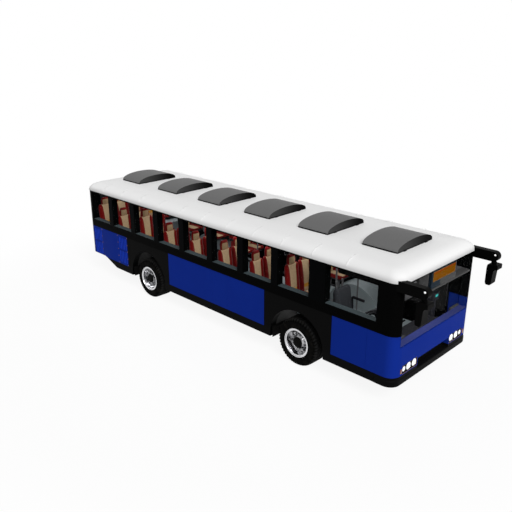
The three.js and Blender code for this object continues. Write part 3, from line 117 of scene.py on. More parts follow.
def zone(tree, place, **spans):
    """A mask that is 1 where place lies between the two values of every span, x, y or z."""
    axes = add_node(tree, "ShaderNodeSeparateXYZ", place, output=None)
    mask = 1.0
    for axis, (low, high) in spans.items():
        middle, half = (low + high) / 2, (high - low) / 2
        inside = add_node(tree, "ShaderNodeMath", axes[axis.upper()], middle, half, operation="COMPARE")
        mask = add_node(tree, "ShaderNodeMath", inside, mask, operation="MULTIPLY")
    return mask


def combined(tree, operation, *masks):
    """Masks put together in order with one math operation."""
    result = masks[0]
    for mask in masks[1:]:
        result = add_node(tree, "ShaderNodeMath", result, mask, operation=operation)
    return result


def layered(tree, base, *layers):
    """A colour with (mask, colour) layers painted over it in order."""
    result = linear(base) if isinstance(base, str) else base
    for mask, colour in layers:
        colour = linear(colour) if isinstance(colour, str) else colour
        result = add_node(
            tree, "ShaderNodeMix", data_type="RGBA", links={0: mask, 6: result, 7: colour}, output=2
        )
    return result


def blank_material(name):
    """A new material, its node tree, its shader and the place of a point at rest."""
    material = bpy.data.materials.new(name)
    material.use_nodes = True
    tree = material.node_tree
    place = add_node(tree, "ShaderNodeTexCoord", output="Object")
    return material, tree, tree.nodes["Principled BSDF"], place


def surface(name, colour, roughness, metallic=0.0, specular=0.5, grain_mm=2.0, depth_mm=0.05, mottle=0.05,
            mottle_m=0.6, coat=0.0, sheen=0.0, stretch=(1, 1, 1), glow=0.0, layers=None):
    """A finish whose colour drifts over mottle_m and whose gloss and relief follow a grain_mm grain.

    layers(tree, place) gives (mask, colour) layers painted over the colour; glow lights it in its colours."""
    material, tree, shader, place = blank_material(name)
    drift = add_node(
        tree, "ShaderNodeTexNoise", links={"Vector": place, "Scale": 1 / mottle_m, "Detail": 4.0},
        output="Fac",
    )
    along = add_node(tree, "ShaderNodeMapping", links={"Vector": place, "Scale": stretch})
    grain = add_node(
        tree, "ShaderNodeTexNoise", links={"Vector": along, "Scale": 1 / (grain_mm * MM), "Detail": 2.0},
        output="Fac",
    )
    tint = add_node(tree, "ShaderNodeMapRange", drift, 0.3, 0.7, 1 - mottle, 1 + mottle)
    painted = layered(tree, colour, *(layers(tree, place) if layers else ()))
    if not isinstance(painted, bpy.types.NodeSocket):
        painted = painted[:3]
    base = add_node(tree, "ShaderNodeVectorMath", painted, operation="SCALE", links={"Scale": tint})
    dull, bright = min(roughness * 1.15, 1.0), max(roughness * 0.85, 0.02)
    gloss = add_node(tree, "ShaderNodeMapRange", grain, 0.3, 0.7, bright, dull)
    relief = add_node(
        tree, "ShaderNodeBump", links={"Height": grain, "Distance": depth_mm * MM, "Strength": 1.0}
    )
    connect(tree, shader, {
        "Base Color": base, "Roughness": gloss, "Normal": relief, "Metallic": metallic,
        "Specular IOR Level": specular, "Coat Weight": coat, "Sheen Weight": sheen,
    })
    if glow:
        connect(tree, shader, {"Emission Color": base, "Emission Strength": glow})
    return material


def facing(tree, axis, share):
    """A mask of the faces whose normal has more than that share along an axis."""
    normal = add_node(tree, "ShaderNodeNewGeometry", output="Normal")
    along = add_node(tree, "ShaderNodeSeparateXYZ", normal, output=axis)
    return add_node(tree, "ShaderNodeMath", along, share, operation="GREATER_THAN")


def outer_skin(tree, place, depth=0.008):
    """A mask of what lies within depth of the body's outer face, round its plan corners too."""
    centred = add_node(tree, "ShaderNodeVectorMath", place, (MIDDLE, 0, 0), operation="SUBTRACT")
    folded = add_node(tree, "ShaderNodeVectorMath", centred, operation="ABSOLUTE")
    straight = (HALF_LENGTH - CORNER, SIDE - CORNER, 1000)
    beyond = add_node(tree, "ShaderNodeVectorMath", folded, straight, operation="SUBTRACT")
    clipped = add_node(tree, "ShaderNodeVectorMath", beyond, (0, 0, 0), operation="MAXIMUM")
    reach = add_node(tree, "ShaderNodeVectorMath", clipped, operation="LENGTH", output="Value")
    return add_node(tree, "ShaderNodeMath", reach, CORNER - depth, operation="GREATER_THAN")


def livery_layers(tree, place):
    """Bands of paint on the outer skin, then the vent slats, corners and ledges within it."""
    paint = bpy.context.scene.bus_paint

    def band(mask, **spans):
        """The part of a mask that lies in the spans."""
        return combined(tree, "MULTIPLY", mask, zone(tree, place, **spans))

    skin = outer_skin(tree, place)
    within = combined(tree, "SUBTRACT", 1.0, skin)
    ledges = combined(tree, "MULTIPLY", within, facing(tree, "Z", 0.7))
    cabin = zone(tree, place, y=(-SIDE + 0.03, SIDE - 0.03))
    slats = combined(tree, "MULTIPLY", within, combined(tree, "SUBTRACT", 1.0, cabin))
    vents = [
        band(slats, x=(back(end), back(start)), z=rows) for start, end in VENT_COLUMNS for rows in VENT_ROWS
    ]
    blue = [band(skin, x=(back(to + 5), back(start - 5)), z=(PANEL, BELT)) for start, to in BLUE_SPANS]
    return (
        (skin, paint.trim),
        (band(skin, z=(BELT, CAP + 0.1)), paint.band),
        (band(skin, z=(0, PANEL)), paint.skirt),
        (combined(tree, "ADD", *blue), paint.panels),
        # Painted light: the vent slats are a lighter blue than the panels, standing in for the light they
        # catch.
        (combined(tree, "MAXIMUM", *vents), paint.slats),
        (band(within, x=(FRONT - 0.37, FRONT), z=(PANEL, BELT)), paint.corners),
        (band(ledges, z=(SILL - 0.05, SILL + 0.05)), paint.sills),
        # Painted reflection: the ledge under the windscreen is lavender, its blue as seen through the glass's
        # sheen.
        (band(ledges, x=(FRONT - 0.3, FRONT), z=(SCREEN - 0.05, SCREEN + 0.05)), paint.ledge),
        (band(ledges, x=(FRONT - 0.6, FRONT), z=(1.8, 1.85)), paint.shelf),
    )


def roof_layers(tree, place):
    """Painted shade along the roof's lower edge, and the dark lining on the faces that look inward, which
    also paints a shadow line under the overhang.
    """
    paint = bpy.context.scene.bus_paint
    centred = add_node(tree, "ShaderNodeVectorMath", place, (MIDDLE, 0, 1.3), operation="SUBTRACT")
    shortened = add_node(tree, "ShaderNodeVectorMath", centred, (0.25, 1, 1), operation="MULTIPLY")
    normal = add_node(tree, "ShaderNodeNewGeometry", output="Normal")
    outward = add_node(
        tree, "ShaderNodeVectorMath", shortened, normal, operation="DOT_PRODUCT", output="Value"
    )
    inward = add_node(tree, "ShaderNodeMath", outward, 0.0, operation="LESS_THAN")
    height = add_node(tree, "ShaderNodeSeparateXYZ", place, output="Z")
    # Painted shade: the roof is drawn darker at its lower edge, fading out 0.1 m above the cap.
    edge = add_node(
        tree, "ShaderNodeMapRange", height, CAP - 0.01, CAP + 0.1, 1.0, 0.0, interpolation_type="SMOOTHSTEP"
    )
    return ((edge, paint.roof_edge), (inward, paint.lining))


def hatch_layers(tree, place):
    """A black rubber foot, and painted shade on the upright front end: dark grey, darkening to black toward
    its far side.
    """
    foot = zone(tree, place, z=(ROOF - 0.01, ROOF + 0.022))
    # Painted shade: the upright front end is drawn darker than the top, and black toward +y.
    end = facing(tree, "X", 0.8)
    level = add_node(tree, "ShaderNodeSeparateXYZ", place, output="Y")
    shade_across_end = add_node(tree, "ShaderNodeMapRange", level, -0.55, 0.5, interpolation_type="SMOOTHSTEP")
    return ((end, "#3E3E3E"), (combined(tree, "MULTIPLY", end, shade_across_end), "#030303"), (foot, "#0A0A0A"))


def from_axle(tree, place):
    """How far a place lies from its nearer axle's line."""
    reaches = []
    for axle in (FRONT_AXLE_X, REAR_AXLE_X):
        away = add_node(tree, "ShaderNodeVectorMath", place, (axle, 0, AXLE_Z), operation="SUBTRACT")
        flat = add_node(tree, "ShaderNodeVectorMath", away, (1, 0, 1), operation="MULTIPLY")
        reaches.append(add_node(tree, "ShaderNodeVectorMath", flat, operation="LENGTH", output="Value"))
    return combined(tree, "MINIMUM", *reaches)


def fleck_layers(tree, place):
    """Coloured flecks about 12 mm apart, drawn larger than the real 4 mm; near black under the floor, and on
    the housings' wheel side as painted shade in the arches.
    """
    cells = add_node(tree, "ShaderNodeTexVoronoi", links={"Vector": place, "Scale": 85.0}, output="Distance")
    fleck = add_node(tree, "ShaderNodeMath", cells, 0.22, operation="LESS_THAN")
    reach = from_axle(tree, place)
    housing = add_node(tree, "ShaderNodeMath", reach, HOUSING_RADIUS + 0.008, operation="LESS_THAN")
    aisle = combined(
        tree, "MAXIMUM", zone(tree, place, x=(0, 10), y=(-0.51, 0.51)),
        zone(tree, place, x=(-10, 0), y=(-0.71, 0.71)),
    )
    housing = combined(tree, "MULTIPLY", housing, combined(tree, "SUBTRACT", 1.0, aisle))
    below = zone(tree, place, y=(-0.88, 0.88), z=(0, FLOOR - 0.004))
    return (
        (combined(tree, "MULTIPLY", fleck, 0.5), "#C6CACB"),
        # Near black under the floor, and on the wheel side of the housings as painted shade in the arches.
        (combined(tree, "MAXIMUM", below, housing), "#0B0B0B"),
    )


def dust_layers(tree, place):
    """Road dust that gathers in clouds on what stands low."""
    cloud = add_node(
        tree, "ShaderNodeTexNoise", links={"Vector": place, "Scale": 9.0, "Detail": 6.0}, output="Fac"
    )
    return ((add_node(tree, "ShaderNodeMapRange", cloud, 0.48, 0.75, 0.0, 0.35), "#2B2823"),)


def tread_layers(tree, place):
    """The worn tread is greyer than the sidewall."""
    worn = add_node(tree, "ShaderNodeMapRange", from_axle(tree, place), 0.425, 0.45)
    return ((worn, "#1F1F1F"), *dust_layers(tree, place))


def dish_reflection_layers(tree, place):
    """Painted dark reflections in clouds over the dish, inside the rim's bright edge."""
    dish = add_node(tree, "ShaderNodeMath", from_axle(tree, place), 0.24, operation="LESS_THAN")
    cloud = add_node(
        tree, "ShaderNodeTexNoise", links={"Vector": place, "Scale": 13.0, "Detail": 3.0}, output="Fac"
    )
    # Painted reflection: dark clouds on the dish stand in for darkness mirrored in the chrome.
    reflection_clouds = add_node(tree, "ShaderNodeMapRange", cloud, 0.4, 0.6, 0.35)
    return ((combined(tree, "MULTIPLY", dish, reflection_clouds), "#2E2E30"),)


DOT_PITCH = 0.012


def display_layers(tree, place):
    """Rows of light-emitting dots behind a dark screen, redder in the top band."""
    axes = add_node(tree, "ShaderNodeSeparateXYZ", place, output=None)
    rounds = []
    for axis in ("Y", "Z"):
        cell = add_node(tree, "ShaderNodeMath", axes[axis], 1 / DOT_PITCH, operation="MULTIPLY")
        share = add_node(tree, "ShaderNodeMath", cell, operation="FRACT")
        off = add_node(tree, "ShaderNodeMath", share, 0.5, operation="SUBTRACT")
        rounds.append(add_node(tree, "ShaderNodeMath", off, 2.0, operation="POWER"))
    dot = add_node(tree, "ShaderNodeMath", combined(tree, "ADD", *rounds), 0.16, operation="LESS_THAN")
    return ((1.0, "#6A4000"), (dot, "#8A5200"), (zone(tree, place, z=(2.095, 2.2)), "#8A3B00"))


def side_frit(tree, place):
    """The black enamel border of the bonded side glass, everywhere but over the window openings."""
    glazing = bpy.context.scene.bus_glass
    first = back(glazing.first / MM)
    driver = zone(tree, place, x=(back(1450), back(400)), y=(-2, 0), z=(SILL, HEAD))
    ahead = add_node(tree, "ShaderNodeSeparateXYZ", place, output="X")
    behind = add_node(tree, "ShaderNodeMath", first, ahead, operation="SUBTRACT")
    pitches = add_node(tree, "ShaderNodeMath", behind, glazing.pitch, operation="DIVIDE")
    share = add_node(tree, "ShaderNodeMath", pitches, operation="FRACT")
    pane = add_node(tree, "ShaderNodeMath", share, glazing.length / glazing.pitch, operation="LESS_THAN")
    passenger = combined(tree, "MULTIPLY", pane, zone(tree, place, x=(REAR, first), z=(SILL, HEAD)))
    return combined(tree, "SUBTRACT", 1.0, combined(tree, "MAXIMUM", driver, passenger))


# Tinted safety glass: the share of light it holds back, None for the setting's, and what masks its border.
PANES = {
    "tinted_side_glass": (None, side_frit),
    "tinted_end_glass": (None, None),
    "tinted_rear_glass": (0.88, None),
    "door_glass": (0.9, None),
}


def tinted_glass(name, held_back, frit):
    """A dark sheet that turns to a mirror at a low angle."""
    glazing = bpy.context.scene.bus_glass
    held_back = glazing.cover if held_back is None else held_back
    material, tree, shader, place = blank_material(name)
    drift = add_node(tree, "ShaderNodeTexNoise", links={"Vector": place, "Scale": 2.0}, output="Fac")
    rough = add_node(tree, "ShaderNodeMapRange", drift, 0.0, 1.0, 0.02, 0.05)
    edge = add_node(tree, "ShaderNodeLayerWeight", 0.25, output="Facing")
    cover = add_node(tree, "ShaderNodeMapRange", edge, 0.0, 1.0, held_back, min(held_back * 4, 0.95))
    if frit:
        cover = combined(tree, "MAXIMUM", cover, frit(tree, place))
    connect(tree, shader, {
        "Base Color": glazing.tint, "Roughness": rough, "Alpha": cover, "Specular IOR Level": 0.01,
    })
    return material


# Each finish: its colour or the setting that holds it, its roughness, then what surface is told.
FINISHES = {
    # Two-pack enamel, sprayed on panels: an even gloss with faint orange peel.
    "two_pack_enamel": ("bus_paint.lining", 0.32, {
        "specular": 0.006, "grain_mm": 6, "depth_mm": 0.02, "mottle": 0.03, "layers": livery_layers}),
    # White gel coat on the moulded roof: a soft gloss, near black on its lined inner face, with painted shade
    # along its lower edge.
    "white_gel_coat": ("bus_paint.roof", 0.4, {
        "specular": 0.02, "grain_mm": 9, "depth_mm": 0.02, "mottle": 0.012, "mottle_m": 1.5,
        "layers": roof_layers}),
    # ABS, moulded with a fine leather grain: dull black that greys a little where it is scuffed.
    "moulded_abs": ("#0D0D0D", 0.5, {
        "specular": 0.02, "grain_mm": 3, "depth_mm": 0.08, "mottle": 0.1, "mottle_m": 0.3}),
    # The mirror shells' ABS: darker and smoother.
    "mirror_abs": ("#070707", 0.4, {"specular": 0.015, "mottle": 0.06}),
    # Chassis steel under air-dried black paint, filmed with road dust.
    "chassis_black": ("#0C0C0C", 0.6, {
        "specular": 0.06, "grain_mm": 5, "depth_mm": 0.3, "mottle": 0.2, "mottle_m": 0.2,
        "layers": dust_layers}),
    # Safety vinyl, rolled on plywood: mid grey with pale flecks.
    "safety_vinyl": ("#8F999C", 0.7, {"specular": 0.25, "depth_mm": 0.2, "layers": fleck_layers}),
    # Smoked acrylic, blow-moulded into a vault: an even satin grey over a black rubber foot, with painted
    # shade on its upright front end.
    "smoked_acrylic": ("#707070", 0.45, {
        "specular": 0.02, "grain_mm": 20, "mottle": 0.02, "layers": hatch_layers}),
    # Vulcanised rubber, carbon black: nearly no gloss, with grey dust in its relief.
    "vulcanised_rubber": ("#080808", 0.8, {
        "specular": 0.02, "grain_mm": 4, "depth_mm": 0.2, "mottle": 0.25, "mottle_m": 0.08,
        "layers": tread_layers}),
    # EPDM, extruded as seals and gaskets: a plain soft black.
    "extruded_epdm": ("#050505", 0.7, {"specular": 0.06, "grain_mm": 1.5}),
    # Chromed steel, spun and polished: bright, with painted dark reflections in clouds over the dish.
    "chromed_steel": ("#D6D6D8", 0.14, {
        "metallic": 1.0, "grain_mm": 3, "depth_mm": 0.02, "mottle": 0.04, "mottle_m": 0.05,
        "layers": dish_reflection_layers}),
    # Zinc-plated steel fasteners: a dull silver.
    "zinc_plate": ("#8C8E90", 0.4, {"metallic": 1.0, "grain_mm": 1, "mottle": 0.1, "mottle_m": 0.02}),
    # Aluminium cover strips, painted with the roof: a soft off-white.
    "painted_aluminium": ("#F4F4F4", 0.4, {"specular": 0.02, "grain_mm": 4}),
    # Brass-tinted chrome on the lamps' bezels: warm and satin.
    "brass_chrome": ("#B08A4A", 0.25, {"metallic": 1.0}),
    # Fluted lamp glass, pressed: frosted white by the bulb behind it; on the mirror arms' screws its glow is
    # a painted highlight.
    "lamp_glass": ("#FBFBFB", 0.15, {
        "specular": 0.3, "grain_mm": 5, "depth_mm": 0.3, "mottle": 0.02, "glow": 0.45}),
    # The lamps' housing, black ABS behind the lenses: satin.
    "lamp_housing": ("#101012", 0.35, {"specular": 0.03, "grain_mm": 3, "mottle": 0.1}),
    # Amber and red polycarbonate, injection-moulded over prisms: clear colour with a wet shine.
    "amber_polycarbonate": ("#8E5210", 0.2, {"grain_mm": 6, "depth_mm": 0.4, "coat": 0.3}),
    "red_polycarbonate": ("#8C0B08", 0.2, {"grain_mm": 6, "depth_mm": 0.4, "coat": 0.3}),
    # The ticket machine's lamp, moulded polycarbonate: turquoise and lit from within.
    "turquoise_polycarbonate": ("#19B5B0", 0.3, {"grain_mm": 3, "glow": 0.5}),
    # The destination display: amber dots behind a smoked screen.
    "dot_display": ("#151A22", 0.4, {"specular": 0.01, "layers": display_layers, "glow": 0.35}),
    # Painted steel cases of the display and the box beside it: satin blue-black and dark grey.
    "painted_display_case": ("#1B2A36", 0.5, {"specular": 0.1, "grain_mm": 3}),
    "painted_control_box": ("#3C3C3C", 0.5, {"specular": 0.1, "grain_mm": 3}),
    # Laminated board of the header shelf: a plain satin grey.
    "laminated_board": ("#575757", 0.5, {"specular": 0.1, "grain_mm": 3}),
    # Gel-coated mouldings at the dashboard's ends: a plain dull grey.
    "grey_gel_coat": ("#4C4C4E", 0.6, {"specular": 0.1, "grain_mm": 3}),
    # Cab ABS, soft-touch painted: dark grey with a slush-moulded grain.
    "cab_abs": ("#26262A", 0.6, {"specular": 0.1, "grain_mm": 3, "depth_mm": 0.15, "mottle": 0.1}),
    # Powder-coated tube: grey, with a faint peel.
    "powder_coat": ("#6A6A6C", 0.45, {"specular": 0.35, "grain_mm": 2.5, "depth_mm": 0.06}),
    # Black enamel, sprayed on the door leaves: a deep gloss.
    "door_enamel": ("#060606", 0.3, {"specular": 0.01, "grain_mm": 6, "depth_mm": 0.02}),
    # Silvered glass of the mirrors: nearly perfectly smooth.
    "silvered_glass": ("#C6CCD0", 0.04, {
        "metallic": 1.0, "grain_mm": 40, "depth_mm": 0.01, "mottle": 0.02}),
    # Wool moquette, cut pile: deep red with a soft sheen and a 2 mm pile.
    "red_moquette": ("bus_seats.bolsters", 0.95, {
        "specular": 0.1, "grain_mm": 2.2, "depth_mm": 0.5, "mottle": 0.12, "mottle_m": 0.05, "sheen": 0.15}),
    # Headrest pads in wipeable embossed vinyl: a darker beige.
    "headrest_vinyl": ("#9C8463", 0.7, {
        "specular": 0.1, "grain_mm": 1.5, "depth_mm": 0.2, "mottle": 0.06, "mottle_m": 0.05}),
    # The inserts' uncut moquette: beige loops in rows.
    "beige_moquette": ("bus_seats.inserts", 0.95, {
        "specular": 0.1, "grain_mm": 2.6, "depth_mm": 0.5, "mottle": 0.1, "mottle_m": 0.03, "sheen": 0.1,
        "stretch": (1, 1.6, 0.8)}),
    # Gold braid, woven and sewn across the insert: a coarse bright thread.
    "gold_braid": ("bus_seats.braid", 0.7, {
        "specular": 0.3, "depth_mm": 0.4, "mottle": 0.15, "mottle_m": 0.01, "sheen": 0.1}),
    # Grey wool cloth of the driver's seat, woven: a dull fine pile.
    "driver_cloth": ("#34363A", 0.9, {
        "specular": 0.15, "grain_mm": 2.2, "depth_mm": 0.4, "mottle": 0.12, "mottle_m": 0.04}),
    # Glass-filled nylon seat shells, moulded: dark grey.
    "seat_shell": ("#2A2A2C", 0.55, {"specular": 0.3, "grain_mm": 2.5, "depth_mm": 0.1}),
}
MATERIALS = {}  # one of each finish, made when it is first asked for


def finish(name):
    """The named finish or glass, made once."""
    if name not in MATERIALS and name in PANES:
        MATERIALS[name] = tinted_glass(name, *PANES[name])
    if name not in MATERIALS:
        colour, roughness, details = FINISHES[name]
        if not colour.startswith("#"):
            group, field = colour.split(".")
            colour = getattr(getattr(bpy.context.scene, group), field)
        MATERIALS[name] = surface(name, colour, roughness, **details)
    return MATERIALS[name]


# ---------- meshes ----------

def paint_faces(bm, start, material):
    """Every face made since start takes that material."""
    bm.faces.ensure_lookup_table()
    for face in bm.faces[start:]:
        face.material_index = material


def block(bm, low, high, bevel=0.0, material=0, segments=2):
    """A box between two corners with bevelled edges."""
    start = len(bm.faces)
    low, high = Vector(low), Vector(high)
    matrix = Matrix.LocRotScale((low + high) / 2, None, high - low)
    made = bmesh.ops.create_cube(bm, size=1.0, matrix=matrix)
    if bevel:
        edges = dict.fromkeys(edge for vert in made["verts"] for edge in vert.link_edges)
        bmesh.ops.bevel(bm, geom=list(edges), offset=bevel, segments=segments, affect="EDGES", profile=0.5)
    paint_faces(bm, start, material)


def bridge(bm, rings, closed, start, material):
    """Quads between each ring and the next, and back to the first where closed."""
    for first, second in list(zip(rings, rings[1:])) + ([(rings[-1], rings[0])] if closed else []):
        for i in range(max(len(first), len(second))):
            j = i + 1
            corners = (
                first[i % len(first)], first[j % len(first)], second[j % len(second)], second[i % len(second)]
            )
            unique = list(dict.fromkeys(corners))
            if len(unique) > 2:
                bm.faces.new(unique)
    paint_faces(bm, start, material)


def circle(radius, count=8):
    """A round section."""
    turns = [2 * math.pi * i / count for i in range(count)]
    return [(radius * math.cos(turn), radius * math.sin(turn)) for turn in turns]


def lathe(bm, profile, matrix, segments=48, material=0, closed=False):
    """A profile of (radius, height) turned about the matrix's z axis."""
    rings = []
    for radius, height in profile:
        around = circle(radius, segments)[:segments if radius > 1e-6 else 1]
        rings.append([bm.verts.new(matrix @ Vector((a, b, height))) for a, b in around])
    bridge(bm, rings, closed, len(bm.faces), material)


def sweep(bm, path, section, up, closed=False, material=0):
    """A section of (side, up) points carried along a path; side is to the right of the way, seen from up."""
    start = len(bm.faces)
    path = [Vector(point) for point in path]
    rings = []
    for i, point in enumerate(path):
        ahead = path[(i + 1) % len(path)] - point if closed or i + 1 < len(path) else point - path[i - 1]
        behind = point - path[i - 1] if closed or i else ahead
        ahead, behind = ahead.normalized(), behind.normalized()
        along = (ahead + behind).normalized()
        side = along.cross(Vector(up)).normalized()
        lift = side.cross(along).normalized()
        spread = 1 / max(ahead.dot(along), 0.5)
        rings.append([bm.verts.new(point + side * a * spread + lift * b) for a, b in section])
    bridge(bm, rings, closed, start, material)
    if not closed:
        bm.faces.new(rings[0]).material_index = material
        bm.faces.new(list(reversed(rings[-1]))).material_index = material


def rounded(x0, y0, x1, y1, radius, steps=5):
    """A rectangle's outline with round corners, counter-clockwise."""
    points = []
    for x, y, first in ((x1, y0, -90), (x1, y1, 0), (x0, y1, 90), (x0, y0, 180)):
        centre_x = x - math.copysign(radius, x - (x0 + x1) / 2)
        centre_y = y - math.copysign(radius, y - (y0 + y1) / 2)
        for i in range(steps + 1):
            angle = math.radians(first + 90 * i / steps)
            points.append((centre_x + radius * math.cos(angle), centre_y + radius * math.sin(angle)))
    return points


def sheet_of(bm, outline, place, thick):
    """A flat plate: an outline in the plane of place, a matrix, thickened along its z."""
    levels = [[bm.verts.new(place @ Vector((x, y, z))) for x, y in outline] for z in (0.0, thick)]
    bm.faces.new(list(reversed(levels[0])))
    bm.faces.new(levels[1])
    bridge(bm, levels, False, len(bm.faces), 0)


def upright(x, y, z, way):
    """A frame whose z axis points along way, +x, -x, +y, -y or +z, and whose y axis is up."""
    axis = {"+x": (1, 0, 0), "-x": (-1, 0, 0), "+y": (0, 1, 0), "-y": (0, -1, 0), "+z": (0, 0, 1)}[way]
    out = Vector(axis)
    up = Vector((0, 0, 1)) if abs(out.z) < 0.5 else Vector((0, 1, 0))
    side = up.cross(out)
    turn = Matrix((side, up, out)).transposed().to_4x4()
    return Matrix.Translation((x, y, z)) @ turn


def ring_places(hub, count, radius, lift, offset=0.0):
    """Frames spaced evenly round a hub's z axis, offset by a share of their spacing."""
    turns = [Matrix.Rotation(2 * math.pi * (i + offset) / count, 4, "Z") for i in range(count)]
    return [hub @ turn @ Matrix.Translation((radius, 0, lift)) for turn in turns]


# A bevel may number its vertices and faces differently each run, so a finished mesh is put in order
# along this direction.
ORDER = Vector((1.0, 0.6180, 0.3247))


def make_piece(name, bm, finishes, body, sharp=35):
    """The finished object: smooth but for its sharp edges, riding on its body."""
    bmesh.ops.recalc_face_normals(bm, faces=bm.faces)
    bm.verts.sort(key=lambda vert: vert.co.dot(ORDER))
    bm.faces.sort(key=lambda face: face.calc_center_median().dot(ORDER))
    mesh = bpy.data.meshes.new(name)
    bm.to_mesh(mesh)
    bm.free()
    for each in finishes:
        mesh.materials.append(finish(each))
    mesh.shade_smooth()
    mesh.set_sharp_from_angle(angle=math.radians(sharp))
    obj = bpy.data.objects.new(name, mesh)
    bpy.context.scene.collection.objects.link(obj)
    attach(obj, body)
    return obj


# ---------- sizes and colours a user would change ----------

def colour_property(name, description, value):
    """A colour that a user can change, given as sRGB hex."""
    return FloatVectorProperty(
        name=name, description=description, subtype="COLOR", size=4, min=0, max=1, default=linear(value)
    )


class StageSettings(bpy.types.PropertyGroup):
    """Camera, floor and lights."""

    azimuth: FloatProperty(
        name="Azimuth", description="Camera angle round the bus", subtype="ANGLE",
        default=math.radians(44.8925),
    )
    elevation: FloatProperty(
        name="Elevation", description="Camera angle above the floor", subtype="ANGLE",
        default=math.radians(19.4755),
    )
    place: FloatVectorProperty(
        name="Place", description="Where the camera stands", subtype="TRANSLATION", unit="LENGTH",
        default=(8.7578, -8.8194, 5.6845),
    )
    lens: FloatProperty(
        name="Lens", description="Focal length on a 36 mm sensor", unit="CAMERA", default=42.63,
    )
    floor: colour_property("Floor", "Floor colour", "#A4A4A4")
    sky: FloatProperty(name="Sky", description="Even light from all round", default=0.27, min=0)
    sun: FloatProperty(name="Lamp", description="Strength of the soft main lamp", default=2.5, min=0)
    cabin: FloatProperty(
        name="Cabin lamps", description="Each of the two ceiling lamp strips", subtype="POWER", default=30.0,
        min=0,
    )
    cab: FloatProperty(
        name="Cab lamp", description="Ceiling lamp over the driver", subtype="POWER", default=9.0, min=0
    )
    sun_spread: FloatProperty(
        name="Lamp spread", description="Apparent size of the main lamp", subtype="ANGLE",
        default=math.radians(30),
    )
    from_lamp: FloatVectorProperty(
        name="Lamp direction", description="Way to the main lamp", subtype="DIRECTION",
        default=(0.676, -0.352, 0.648),
    )


class PaintSettings(bpy.types.PropertyGroup):
    """The livery."""

    panels: colour_property("Panels", "Blue of the lower panels", "#143095")
    band: colour_property("Band", "Black of the window band", "#060606")
    skirt: colour_property("Skirt", "Lower skirts and arch surrounds", "#141414")
    trim: colour_property("Surround", "Black between the blue panels", "#121212")
    roof: colour_property("Roof", "White of the roof", "#F8F8F8")
    # Painted shade along the roof's lower edge, which is drawn darker.
    roof_edge: colour_property("Roof edge", "Grime along the roof's lower edge", "#D2D2D2")
    lining: colour_property("Lining", "Inner faces of the walls", "#050606")
    # Painted light: the slats' lighter blue stands in for the light they catch.
    slats: colour_property("Slats", "Blue inside the side vents, where it gathers light", "#2B52D8")
    corners: colour_property("Corners", "Inner corners under the windscreen", "#15308A")
    sills: colour_property("Sills", "Ledges under the side windows", "#3F484B")
    # Painted reflection: lavender, the ledge's blue as seen through the windscreen's sheen.
    ledge: colour_property("Ledge", "Ledge under the windscreen", "#434B8A")
    shelf: colour_property("Shelf", "Header shelf behind the windscreen", "#6C6C6E")


class GlassSettings(bpy.types.PropertyGroup):
    """The side windows' pitch and the glass's tint."""

    first: FloatProperty(
        name="First window", description="Front edge of the first passenger window, behind the front face",
        unit="LENGTH", default=1810 * MM,
    )
    pitch: FloatProperty(name="Pitch", description="Window to window", unit="LENGTH", default=903 * MM)
    length: FloatProperty(name="Length", description="Of one window", unit="LENGTH", default=742 * MM)
    tint: colour_property("Tint", "Colour of the glass", "#040506")
    cover: FloatProperty(
        name="Cover", description="Share of light the glass holds back", subtype="FACTOR", default=0.04,
        min=0, max=1,
    )


class WheelSettings(bpy.types.PropertyGroup):
    """Tyres."""

    blocks: IntProperty(name="Tread blocks", description="Shoulder blocks round a tyre", default=44, min=20)


class SeatSettings(bpy.types.PropertyGroup):
    """Upholstery of the passenger seats."""

    pressure: FloatProperty(
        name="Pressure", description="Air pressure that puffs the padding", default=4.0, min=0
    )
    bolsters: colour_property("Bolsters", "Red moquette", "#6E0403")
    inserts: colour_property("Inserts", "Beige moquette", "#B79D7A")
    braid: colour_property("Braid", "Gold braid across the insert", "#C8902A")


SETTINGS = {
    "bus_stage": StageSettings, "bus_paint": PaintSettings, "bus_glass": GlassSettings,
    "bus_wheels": WheelSettings, "bus_seats": SeatSettings,
}


# ---------- stage ----------

class BUS_OT_stage(bpy.types.Operator):
    """Sets the floor, the lights, the plain background and the camera"""

    bl_idname = "bus.stage"
    bl_label = "Stage"

    def execute(self, context):
        settings = context.scene.bus_stage
        scene = context.scene
        scene.view_settings.view_transform = "Standard"
        camera = bpy.data.objects.new("camera", bpy.data.cameras.new("camera"))
        camera.location = settings.place
        camera.rotation_euler = (math.pi / 2 - settings.elevation, 0.0, settings.azimuth)
        camera.data.lens = settings.lens
        camera.data.clip_end = 200
        scene.collection.objects.link(camera)
        scene.camera = camera
        lamp = bpy.data.lights.new("main_lamp", "SUN")
        lamp.energy = settings.sun
        lamp.angle = settings.sun_spread
        holder = bpy.data.objects.new("main_lamp", lamp)
        holder.rotation_euler = Vector(settings.from_lamp).to_track_quat("Z", "Y").to_euler()
        scene.collection.objects.link(holder)
        ceiling_lamp("cabin_lamps_right", settings.cabin, (back(5400), -0.62, 2.14), (6.9, 0.3))
        ceiling_lamp("cabin_lamps_left", settings.cabin, (back(5400), 0.62, 2.14), (6.9, 0.3))
        ceiling_lamp("cab_lamp", settings.cab, (back(900), -0.45, 2.12), (0.7, 0.5))
        plain_world(settings.sky)
        floor_sheet(settings.floor)
        return {"FINISHED"}


def ceiling_lamp(name, power, place, size):
    """A flat lamp that shines downward from the cabin's ceiling."""
    lamp = bpy.data.lights.new(name, "AREA")
    lamp.shape = "RECTANGLE"
    lamp.size, lamp.size_y = size
    lamp.energy = power
    holder = bpy.data.objects.new(name, lamp)
    holder.location = place
    holder.visible_camera = False
    bpy.context.scene.collection.objects.link(holder)


